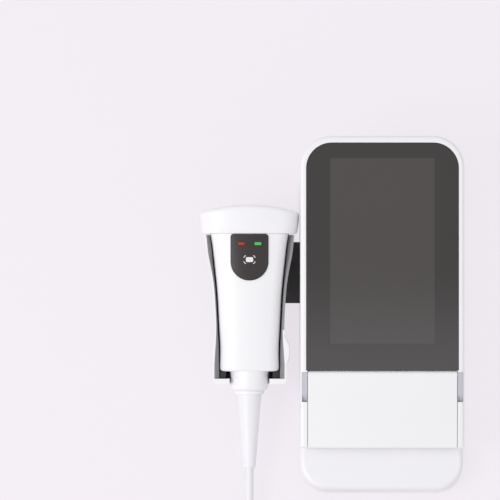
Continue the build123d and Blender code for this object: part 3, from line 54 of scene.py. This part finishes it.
faceCos, faceSin = math.cos(face["tilt"]), math.sin(face["tilt"])
faceLength = face["readerLength"] * faceCos + (face["backHeight"] - face["ledgeHeight"]) * faceSin
faceFoot = Vector((face["readerX"], face["readerLength"] / 2 - faceLength * faceCos,
                   face["backHeight"] - faceLength * faceSin))
faceUp = Vector((0, faceCos, faceSin))
faceOut = Vector((0, -faceSin, faceCos))


def onFace(across, up, out):
    return faceFoot + Vector((across, 0, 0)) + faceUp * up + faceOut * out


def onGrip(across, along, out):
    return onFace(face["scannerX"] - face["readerX"] + across, face["gripV"] + along, out - face["axisDepth"])


def deselectAll():
    for thing in list(bpy.context.selected_objects):
        thing.select_set(False)


# camera, square to the face
camera = {"lens": 360.0, "sensor": 36.0, "acrossView": 0.2985, "aimX": -0.0490, "aimV": 0.1433,
          "farEnd": 20.0}
deselectAll()
distance = camera["acrossView"] * camera["lens"] / camera["sensor"]
aim = onFace(camera["aimX"] - face["readerX"], camera["aimV"], 0)
bpy.ops.object.camera_add(location=aim + faceOut * distance, rotation=(face["tilt"], 0, 0))
sceneCamera = bpy.context.object
sceneCamera.name = "pictureCamera"
sceneCamera.data.lens = camera["lens"]
sceneCamera.data.sensor_width = camera["sensor"]
sceneCamera.data.clip_end = camera["farEnd"]
bpy.context.scene.camera = sceneCamera
print("camera placed")

# free cord: lead down to the bench, a tied coil, and the tail to the plug
cord = {
    "diameter": 0.005,
    "length": 1.74,
    "coilX": -0.0253, "coilY": -0.1786,
    "outerTurn": 0.0322, "turnStep": 0.0052,
    "lowTurn": 0.0033, "layerStep": 0.0052,
    "pointsPerTurn": 30,
    "blendEnd": (-0.0575, -0.1586, 0.0033),  # from here on it stays on the bench
    "shiftFrom": 0.61, "shiftTo": 0.73,  # part of a turn where it moves to its next place, under the tie
    "lead": [(-0.0493, -0.08844, 0.01231), (-0.0493, -0.10409, 0.00898), (-0.0497, -0.12144, 0.0062),
             (-0.0585, -0.13917, 0.0036), (-0.0575, -0.15967, 0.0033)],
    "tail": [(-0.00637, -0.2108, 0.0085), (0.00913, -0.2102, 0.0049), (0.0262, -0.2036, 0.004),
             (0.0407, -0.2011, 0.004)],
    # places in the bundle in winding order: ring from outside, layer from below
    "cells": [(0, 0), (1, 0), (2, 0), (2, 1), (2, 2), (1, 2), (0, 2), (1, 1), (0, 1)],
}


def coilPoints():
    points = []
    cells, perTurn = cord["cells"], cord["pointsPerTurn"]
    last = len(cells) - 1
    for i in range(1, len(cells) * perTurn + perTurn // 4):
        turn = i / perTurn
        whole = min(int(turn), last)
        share = (turn - whole - cord["shiftFrom"]) / (cord["shiftTo"] - cord["shiftFrom"])
        share = min(max(share, 0.0), 1.0) if whole < last else 0.0
        share = share * share * (3 - 2 * share)
        here, there = cells[whole], cells[min(whole + 1, last)]
        radius = cord["outerTurn"] - (here[0] + (there[0] - here[0]) * share) * cord["turnStep"]
        layer = here[1] + (there[1] - here[1]) * share
        angle = math.pi + turn * 2 * math.pi
        points.append((cord["coilX"] + radius * math.cos(angle), cord["coilY"] + radius * math.sin(angle),
                       cord["lowTurn"] + layer * cord["layerStep"]))
    return points


def asMesh(thing):
    bpy.context.view_layer.update()
    return bpy.data.meshes.new_from_object(thing.evaluated_get(bpy.context.evaluated_depsgraph_get()))


def makeCord():
    deselectAll()
    points = cord["lead"] + coilPoints() + cord["tail"]
    curve = bpy.data.curves.new("cordRoute", "CURVE")
    curve.dimensions = "3D"
    spline = curve.splines.new("NURBS")
    spline.points.add(len(points) - 1)
    for place, point in zip(spline.points, points):
        place.co = (*point, 1.0)
    spline.order_u = 3
    spline.use_endpoint_u = True
    spline.resolution_u = 5
    routeObject = bpy.data.objects.new("cordRoute", curve)
    bpy.context.scene.collection.objects.link(routeObject)
    path = [tuple(v.co) for v in asMesh(routeObject).vertices]
    curve.bevel_depth = cord["diameter"] / 2
    curve.bevel_resolution = 2
    curve.use_fill_caps = True
    tube = asMesh(routeObject)
    bpy.data.objects.remove(routeObject)
    piece = bpy.data.objects.new("scannerCord", tube)
    bpy.context.scene.collection.objects.link(piece)
    for polygon in tube.polygons:
        polygon.use_smooth = True
    return piece, path


# hook-and-loop band round the coil: one turn and a lap, the free end on top
tie = {"angle": math.radians(60.0), "width": 0.012, "thick": 0.0008, "bundle": 0.0154, "square": 7.0,
       "startAt": math.radians(75.0), "lap": math.radians(62.0), "lift": 0.0006, "steps": 110, "rows": 6,
       "climbFrom": math.radians(315.0), "climb": math.radians(45.0),  # where it steps up onto its own start
       "lapRise": 1.02, "freeShare": 0.035, "freeTaper": 0.12,
       "edgeRound": 0.00018, "edgeSteps": 2, "edgeAngle": math.radians(50.0),
       "smoothAngle": math.radians(40.0)}


def makeTie():
    deselectAll()
    bpy.ops.mesh.primitive_grid_add(x_subdivisions=tie["steps"], y_subdivisions=tie["rows"], size=1)
    band = bpy.context.object
    band.name = "tieBand"
    outward = Vector((math.cos(tie["angle"]), math.sin(tie["angle"]), 0))
    across = Vector((-outward.y, outward.x, 0))
    middle = Vector((cord["coilX"], cord["coilY"], tie["thick"] + tie["bundle"] / 2))
    middle += outward * (cord["outerTurn"] - cord["turnStep"])
    for vertex in band.data.vertices:
        along, side = vertex.co.x + 0.5, vertex.co.y
        turned = along * (2 * math.pi + tie["lap"])
        angle = tie["startAt"] + turned
        over = min(max((turned - tie["climbFrom"]) / tie["climb"], 0.0), 1.0)
        half = tie["bundle"] / 2 + tie["thick"] / 2 + over * tie["thick"] * tie["lapRise"]
        free = max(along - (1 - tie["freeShare"]), 0.0) / tie["freeShare"]
        half += free * free * tie["lift"]
        square = tie["square"]
        reach = (abs(math.cos(angle)) ** square + abs(math.sin(angle)) ** square) ** (-1 / square)
        width = tie["width"] * (1.0 - tie["freeTaper"] * free * free)
        vertex.co = (middle + outward * (half * reach * math.cos(angle))
                     + Vector((0, 0, half * reach * math.sin(angle))) + across * side * width)
    skin = band.modifiers.new("cloth", "SOLIDIFY")
    skin.thickness = tie["thick"]
    skin.offset = 0
    bpy.ops.object.modifier_apply(modifier="cloth")
    edge = band.modifiers.new("edge", "BEVEL")
    edge.width = tie["edgeRound"]
    edge.segments = tie["edgeSteps"]
    edge.limit_method = "ANGLE"
    edge.angle_limit = tie["edgeAngle"]
    bpy.ops.object.modifier_apply(modifier="edge")
    bpy.ops.object.shade_smooth_by_angle(angle=tie["smoothAngle"])
    return band


tieBand = makeTie()
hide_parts("cord_tie")
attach(tieBand, "reader")
print("tie made")

scannerCord, cordPath = makeCord()
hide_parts("cord_lead", "cord_coil", "cord_tail")
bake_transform(scannerCord)
print("cord made, points along it:", len(cordPath))


# shared surface effect: fine grain and a slow drift of tone
surface = {"grainDetail": 3.0, "grainSize": 2600.0, "grainDepth": 0.00001, "driftDetail": 2.0,
           "driftSize": 22.0, "roughSpread": 0.08, "bumpStrength": 0.6}


def makeGroup(name, inputs, outputs):
    group = bpy.data.node_groups.new(name, "ShaderNodeTree")
    for label, kind, value in inputs:
        socket = group.interface.new_socket(label, in_out="INPUT", socket_type=kind)
        if value is not None:
            socket.default_value = value
    for label, kind in outputs:
        group.interface.new_socket(label, in_out="OUTPUT", socket_type=kind)
    start = group.nodes.new("NodeGroupInput")
    end = group.nodes.new("NodeGroupOutput")
    return group, start, end


def makeMouldedSkin():
    group, start, end = makeGroup(
        "mouldedSkin",
        [("Position", "NodeSocketVector", None), ("Grain Size", "NodeSocketFloat", surface["grainSize"]),
         ("Drift Size", "NodeSocketFloat", surface["driftSize"])],
        [("Grain", "NodeSocketFloat"), ("Drift", "NodeSocketFloat")])
    for effect, detail in (("Grain", surface["grainDetail"]), ("Drift", surface["driftDetail"])):
        noise = group.nodes.new("ShaderNodeTexNoise")
        noise.inputs["Detail"].default_value = detail
        group.links.new(start.outputs["Position"], noise.inputs["Vector"])
        group.links.new(start.outputs[effect + " Size"], noise.inputs["Scale"])
        group.links.new(noise.outputs["Fac"], end.inputs[effect])
    return group


mouldedSkin = makeMouldedSkin()


def newMaterial(name):
    material = bpy.data.materials.new(name)
    material.use_nodes = True
    tree = material.node_tree
    tree.nodes.clear()
    shader = tree.nodes.new("ShaderNodeBsdfPrincipled")
    output = tree.nodes.new("ShaderNodeOutputMaterial")
    tree.links.new(shader.outputs["BSDF"], output.inputs["Surface"])
    place = tree.nodes.new("ShaderNodeTexCoord")
    return material, tree, shader, place


def addSkin(tree, place, size, value):
    skin = tree.nodes.new("ShaderNodeGroup")
    skin.node_tree = mouldedSkin
    skin.inputs[size].default_value = value
    tree.links.new(place.outputs["Object"], skin.inputs["Position"])
    return skin


def mixTones(tree, factor, first, second):
    mix = tree.nodes.new("ShaderNodeMix")
    mix.data_type = "RGBA"
    tree.links.new(factor, mix.inputs["Factor"])
    for label, tone in (("A", first), ("B", second)):
        if isinstance(tone, tuple):
            mix.inputs[label].default_value = (*tone, 1)
        else:
            tree.links.new(tone, mix.inputs[label])
    return mix.outputs["Result"]


def varyGloss(tree, shader, mask, low, high):
    gloss = tree.nodes.new("ShaderNodeMapRange")
    gloss.inputs["To Min"].default_value = low
    gloss.inputs["To Max"].default_value = high
    tree.links.new(mask, gloss.inputs["Value"])
    tree.links.new(gloss.outputs["Result"], shader.inputs["Roughness"])


def makeMoulded(name, tones, rough, grainSize=surface["grainSize"], grainDepth=surface["grainDepth"],
                roughSpread=surface["roughSpread"], specular=0.5, metallic=0.0):
    material, tree, shader, place = newMaterial(name)
    skin = addSkin(tree, place, "Grain Size", grainSize)
    tree.links.new(mixTones(tree, skin.outputs["Drift"], *tones), shader.inputs["Base Color"])
    varyGloss(tree, shader, skin.outputs["Grain"], rough - roughSpread, rough + roughSpread)
    bump = tree.nodes.new("ShaderNodeBump")
    bump.inputs["Strength"].default_value = surface["bumpStrength"]
    bump.inputs["Distance"].default_value = grainDepth
    tree.links.new(skin.outputs["Grain"], bump.inputs["Height"])
    tree.links.new(bump.outputs["Normal"], shader.inputs["Normal"])
    shader.inputs["Specular IOR Level"].default_value = specular
    shader.inputs["Metallic"].default_value = metallic
    return material


# tones are the two ends of the slow drift
moulded = {
    "casingWhite": {"tones": ((0.935, 0.925, 0.938), (0.90, 0.893, 0.908)), "rough": 0.36,
                    "grainSize": 3000.0, "grainDepth": 0.000008},
    "scannerWhite": {"tones": ((0.94, 0.928, 0.942), (0.91, 0.90, 0.918)), "rough": 0.30,
                     "grainSize": 3200.0, "grainDepth": 0.000005},
    "hingeGrey": {"tones": ((0.60, 0.60, 0.655), (0.53, 0.535, 0.59)), "rough": 0.42},
    "bayGrey": {"tones": ((0.72, 0.715, 0.74), (0.66, 0.655, 0.68)), "rough": 0.5,
                "grainSize": 2200.0, "grainDepth": 0.00002},
    # bracket: tone raised above its own black as painted light, making up for the shade of the gap it sits in
    "bracketBlackPaintedLight": {"tones": ((0.072, 0.068, 0.068), (0.060, 0.057, 0.057)), "rough": 0.5,
                     "grainSize": 1800.0, "grainDepth": 0.00002},
    "innerBlack": {"tones": ((0.032, 0.030, 0.031), (0.025, 0.024, 0.025)), "rough": 0.55,
                   "grainSize": 1500.0, "grainDepth": 0.00003},
    # cradle liner: grey material whose tone is partly painted shade, set to give the dark of the narrow gap
    # round the grip
    "cradleGreyAndShade": {"tones": ((0.315, 0.308, 0.318), (0.27, 0.266, 0.276)), "rough": 0.5,
                   "grainSize": 1900.0, "grainDepth": 0.00002},
    "softBlack": {"tones": ((0.028, 0.027, 0.028), (0.040, 0.038, 0.038)), "rough": 0.75,
                  "grainSize": 1400.0, "grainDepth": 0.00004},
    "loopBlack": {"tones": ((0.020, 0.020, 0.021), (0.050, 0.049, 0.051)), "rough": 0.9,
                  "grainSize": 1500.0, "grainDepth": 0.00025, "roughSpread": 0.05, "specular": 0.2},
    "bootWhite": {"tones": ((0.90, 0.89, 0.915), (0.86, 0.85, 0.88)), "rough": 0.42, "grainSize": 2400.0},
    "cordWhite": {"tones": ((0.88, 0.87, 0.895), (0.83, 0.825, 0.85)), "rough": 0.42, "grainSize": 2400.0},
    "bareSteel": {"tones": ((0.60, 0.60, 0.61), (0.52, 0.52, 0.53)), "rough": 0.28,
                  "grainDepth": 0.000006, "metallic": 1.0},
    "sheetMetal": {"tones": ((0.62, 0.62, 0.63), (0.55, 0.55, 0.56)), "rough": 0.4,
                   "grainSize": 2000.0, "metallic": 1.0},
    "boardGreen": {"tones": ((0.02, 0.13, 0.06), (0.015, 0.10, 0.045)), "rough": 0.35, "grainSize": 1800.0},
    "chipBlack": {"tones": ((0.02, 0.02, 0.021), (0.03, 0.03, 0.031)), "rough": 0.5},
    "windowRed": {"tones": ((0.085, 0.006, 0.010), (0.070, 0.005, 0.008)), "rough": 0.07,
                  "grainSize": 900.0, "grainDepth": 0.0, "roughSpread": 0.02},
    "keyBlack": {"tones": ((0.035, 0.028, 0.027), (0.030, 0.024, 0.023)), "rough": 0.30,
                 "grainSize": 3000.0, "grainDepth": 0.000004},
    "iconWhite": {"tones": ((0.86, 0.85, 0.86), (0.82, 0.81, 0.82)), "rough": 0.5},
}
finishes = {name: makeMoulded(name, **values) for name, values in moulded.items()}

lights = {"lightRed": {"colour": (0.36, 0.042, 0.018), "glow": 0.2},
          "lightGreen": {"colour": (0.06, 0.48, 0.085), "glow": 0.25}}
lightPipe = {"grainSize": 900.0, "deeper": 0.8, "rough": 0.25}


def makeLight(name, colour, glow):
    material, tree, shader, place = newMaterial(name)
    skin = addSkin(tree, place, "Grain Size", lightPipe["grainSize"])
    tint = mixTones(tree, skin.outputs["Drift"], colour, tuple(c * lightPipe["deeper"] for c in colour))
    tree.links.new(tint, shader.inputs["Base Color"])
    tree.links.new(tint, shader.inputs["Emission Color"])
    shader.inputs["Emission Strength"].default_value = glow
    shader.inputs["Roughness"].default_value = lightPipe["rough"]
    return material


for name, values in lights.items():
    finishes[name] = makeLight(name, **values)

# touch screen: dark border, the display behind the glass, and a painted reflection that lightens the lower
# part
screen = {"displayWidth": 0.0623, "displayLength": 0.1107, "edge": 0.0005, "bezel": (0.040, 0.035, 0.034),
          "display": (0.062, 0.056, 0.053), "brighter": 1.12, "driftSize": 9.0, "rough": (0.05, 0.11),
          "paintedReflection": 0.38, "paintedReflectionTone": (0.14, 0.13, 0.138), "paintedReflectionFrom": 0.05, "paintedReflectionTo": 0.66}


def makeGlass():
    material, tree, shader, place = newMaterial("touchGlass")
    link = tree.links.new
    low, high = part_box("display_panel")
    middle = onFace(0, ((Vector(low) + Vector(high)) / 2 - faceFoot).dot(faceUp), 0)

    def within(axis, half):
        shift = tree.nodes.new("ShaderNodeVectorMath")
        shift.operation = "SUBTRACT"
        shift.inputs[1].default_value = middle
        link(place.outputs["Object"], shift.inputs[0])
        dot = tree.nodes.new("ShaderNodeVectorMath")
        dot.operation = "DOT_PRODUCT"
        dot.inputs[1].default_value = axis
        link(shift.outputs["Vector"], dot.inputs[0])
        size = tree.nodes.new("ShaderNodeMath")
        size.operation = "ABSOLUTE"
        link(dot.outputs["Value"], size.inputs[0])
        inside = tree.nodes.new("ShaderNodeMapRange")
        inside.inputs["From Min"].default_value = half + screen["edge"] / 2
        inside.inputs["From Max"].default_value = half - screen["edge"] / 2
        link(size.outputs["Value"], inside.inputs["Value"])
        return inside.outputs["Result"]

    onDisplay = tree.nodes.new("ShaderNodeMath")
    onDisplay.operation = "MULTIPLY"
    link(within((1, 0, 0), screen["displayWidth"] / 2), onDisplay.inputs[0])
    link(within(tuple(faceUp), screen["displayLength"] / 2), onDisplay.inputs[1])
    skin = addSkin(tree, place, "Drift Size", screen["driftSize"])
    display = mixTones(tree, skin.outputs["Drift"], screen["display"],
                       tuple(c * screen["brighter"] for c in screen["display"]))
    plain = mixTones(tree, onDisplay.outputs["Value"], screen["bezel"], display)
    # painted reflection: the glass turns lighter and greyer towards its lower end
    down = tree.nodes.new("ShaderNodeVectorMath")
    down.operation = "DOT_PRODUCT"
    down.inputs[1].default_value = tuple(-faceUp)
    link(place.outputs["Object"], down.inputs[0])
    paintedReflectionRamp = tree.nodes.new("ShaderNodeMapRange")
    paintedReflectionRamp.interpolation_type = "SMOOTHSTEP"
    for label, share in (("From Min", screen["paintedReflectionFrom"]), ("From Max", screen["paintedReflectionTo"])):
        paintedReflectionRamp.inputs[label].default_value = -middle.dot(faceUp) + screen["displayLength"] * share
    paintedReflectionRamp.inputs["To Max"].default_value = screen["paintedReflection"]
    link(down.outputs["Value"], paintedReflectionRamp.inputs["Value"])
    link(mixTones(tree, paintedReflectionRamp.outputs["Result"], plain, screen["paintedReflectionTone"]), shader.inputs["Base Color"])
    varyGloss(tree, shader, skin.outputs["Drift"], *screen["rough"])
    return material


finishes["touchGlass"] = makeGlass()

paint = {
    "casingWhite": ["base_shell", "top_shell", "strip_door", "battery_cover"],
    "scannerWhite": ["scanner_front_shell", "scanner_back_shell", "scanner_head", "cradle_shell",
                     "end_collar", "collar_ring"],
    "hingeGrey": ["hinge_ear_left", "hinge_ear_right", "power_button"],
    "bayGrey": ["strip_bay"],
    "bracketBlackPaintedLight": ["side_bracket"],
    "innerBlack": ["port_bezel", "battery_pack", "speaker", "measuring_module", "power_inlet", "beeper",
                   "imager_module"],
    "cradleGreyAndShade": ["cradle_liner"],
    "softBlack": ["feet", "seat_pads"],
    "bootWhite": ["cord_boot", "plug_grip"],
    "bareSteel": ["inlet_pin", "hinge_pins", "board_screws", "casing_screws", "bracket_screws",
                  "cradle_screws", "scanner_screws", "data_ports", "plug_shell", "radio_module"],
    "sheetMetal": ["display_frame"],
    "boardGreen": ["main_board", "sensor_board", "scanner_board"],
    "chipBlack": ["board_chips", "sensor_parts", "scanner_chips", "power_switch", "trigger_switch",
                  "display_panel"],
    "windowRed": ["scan_window"],
    "keyBlack": ["scan_key"],
    "lightRed": ["red_light"],
    "lightGreen": ["green_light"],
    "touchGlass": ["screen_glass"],
}
for finish, names in paint.items():
    for name in names:
        nodes[name].data.materials.clear()
        nodes[name].data.materials.append(finishes[finish])
scannerCord.data.materials.append(finishes["cordWhite"])
tieBand.data.materials.append(finishes["loopBlack"])
print("finishes assigned")

# scan-frame print on the key: a small filled frame between four corner brackets
icon = {"along": 0.0666, "fillWidth": 0.00466, "fillHeight": 0.00293, "fillCorner": 0.0007,
        "frameWidth": 0.0078, "frameHeight": 0.0052, "frameCorner": 0.0017, "line": 0.00045,
        "gapAcross": 0.0046, "gapAlong": 0.0022, "thick": 0.00006, "stand": 0.00002, "dropFrom": 0.022,
        "cornerSteps": 5}


def flatPlate(name, width, height, corner):
    deselectAll()
    bpy.ops.mesh.primitive_plane_add(size=1.0)
    plate = bpy.context.object
    plate.name = name
    plate.scale = (width, height, 1)
    bpy.ops.object.transform_apply(location=False, rotation=False, scale=True)
    bpy.ops.object.mode_set(mode="EDIT")
    bpy.ops.mesh.select_all(action="SELECT")
    bpy.ops.mesh.bevel(offset=corner, segments=icon["cornerSteps"], affect="VERTICES")
    bpy.ops.object.mode_set(mode="OBJECT")
    return plate


def pressOnKey(plate):
    plate.rotation_euler = (face["tilt"], 0, 0)
    plate.location = onGrip(0, icon["along"], icon["dropFrom"])
    bpy.ops.object.transform_apply(location=True, rotation=True, scale=True)
    wrap = plate.modifiers.new("lie", "SHRINKWRAP")
    wrap.target = nodes["scan_key"]
    wrap.wrap_method = "NEAREST_SURFACEPOINT"
    wrap.wrap_mode = "ABOVE_SURFACE"
    wrap.offset = icon["stand"]
    bpy.ops.object.modifier_apply(modifier="lie")
    skin = plate.modifiers.new("ink", "SOLIDIFY")
    skin.thickness = icon["thick"]
    skin.offset = 1
    bpy.ops.object.modifier_apply(modifier="ink")
    plate.data.materials.append(finishes["iconWhite"])
    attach(plate, "scan_key")


def makeIcon():
    fill = flatPlate("iconFill", icon["fillWidth"], icon["fillHeight"], icon["fillCorner"])
    bpy.ops.object.mode_set(mode="EDIT")
    bpy.ops.mesh.select_all(action="SELECT")
    bpy.ops.mesh.poke()
    bpy.ops.object.mode_set(mode="OBJECT")
    pressOnKey(fill)
    brackets = flatPlate("iconBrackets", icon["frameWidth"], icon["frameHeight"], icon["frameCorner"])
    bpy.ops.object.mode_set(mode="EDIT")
    bpy.ops.mesh.select_all(action="SELECT")
    bpy.ops.mesh.inset(thickness=icon["line"], depth=0)
    bpy.ops.mesh.delete(type="FACE")
    for half, normal in ((icon["gapAcross"] / 2, (1, 0, 0)), (icon["gapAlong"] / 2, (0, 1, 0))):
        for side in (-1, 1):
            bpy.ops.mesh.select_all(action="SELECT")
            bpy.ops.mesh.bisect(plane_co=tuple(side * half * n for n in normal), plane_no=normal)
    bpy.ops.object.mode_set(mode="OBJECT")
    for polygon in brackets.data.polygons:
        centre = polygon.center
        polygon.select = abs(centre.x) < icon["gapAcross"] / 2 or abs(centre.y) < icon["gapAlong"] / 2
    bpy.ops.object.mode_set(mode="EDIT")
    bpy.ops.mesh.select_mode(type="FACE")
    bpy.ops.mesh.delete(type="FACE")
    bpy.ops.object.mode_set(mode="OBJECT")
    pressOnKey(brackets)


makeIcon()
print("icon printed")

# floor, light and background
studio = {"floor": (0.90, 0.86, 0.905), "seen": (0.905, 0.865, 0.913), "worldTone": (0.93, 0.93, 0.95),
          "worldStrength": 0.74, "floorSize": 6.0, "floorRough": 0.9, "floorSpecular": 0.1,
          "seenShare": 0.82}  # plain tone in what the camera sees of the floor; the rest holds shadow


def makeFloor():
    deselectAll()
    bpy.ops.mesh.primitive_plane_add(size=studio["floorSize"])
    floor = bpy.context.object
    floor.name = "benchTop"
    material = bpy.data.materials.new("benchPale")
    material.use_nodes = True
    tree = material.node_tree
    tree.nodes.clear()
    output = tree.nodes.new("ShaderNodeOutputMaterial")
    shader = tree.nodes.new("ShaderNodeBsdfPrincipled")
    shader.inputs["Base Color"].default_value = (*studio["floor"], 1)
    shader.inputs["Roughness"].default_value = studio["floorRough"]
    shader.inputs["Specular IOR Level"].default_value = studio["floorSpecular"]
    glow = tree.nodes.new("ShaderNodeEmission")
    glow.inputs["Color"].default_value = (*studio["seen"], 1)
    mix = tree.nodes.new("ShaderNodeMixShader")
    path = tree.nodes.new("ShaderNodeLightPath")
    seen = path.outputs["Is Camera Ray"]
    for ray in ("Is Glossy Ray", "Is Transmission Ray"):
        either = tree.nodes.new("ShaderNodeMath")
        either.operation = "MAXIMUM"
        tree.links.new(seen, either.inputs[0])
        tree.links.new(path.outputs[ray], either.inputs[1])
        seen = either.outputs["Value"]
    share = tree.nodes.new("ShaderNodeMath")
    share.operation = "MULTIPLY"
    share.inputs[1].default_value = studio["seenShare"]
    tree.links.new(seen, share.inputs[0])
    tree.links.new(share.outputs["Value"], mix.inputs["Fac"])
    tree.links.new(shader.outputs["BSDF"], mix.inputs[1])
    tree.links.new(glow.outputs["Emission"], mix.inputs[2])
    tree.links.new(mix.outputs["Shader"], output.inputs["Surface"])
    floor.data.materials.append(material)


makeFloor()
world = bpy.data.worlds.new("softStudio")
bpy.context.scene.world = world
world.use_nodes = True
background = world.node_tree.nodes["Background"]
background.inputs["Color"].default_value = (*studio["worldTone"], 1)
background.inputs["Strength"].default_value = studio["worldStrength"]

lamps = [
    {"name": "keyLamp", "place": (-0.80, -0.30, 0.95), "aim": (0.0, 0.0, 0.03), "size": 0.6, "power": 5.6},
    {"name": "fillLamp", "place": (0.9, -0.6, 0.9), "aim": (0.0, 0.0, 0.03), "size": 0.9, "power": 0.8},
]
for lamp in lamps:
    deselectAll()
    bpy.ops.object.light_add(type="AREA", location=lamp["place"])
    light = bpy.context.object
    light.name = lamp["name"]
    light.data.size = lamp["size"]
    light.data.energy = lamp["power"]
    light.rotation_euler = (Vector(lamp["aim"]) - Vector(lamp["place"])).to_track_quat("-Z", "Y").to_euler()
bpy.context.scene.view_settings.view_transform = "Standard"
print("studio set")
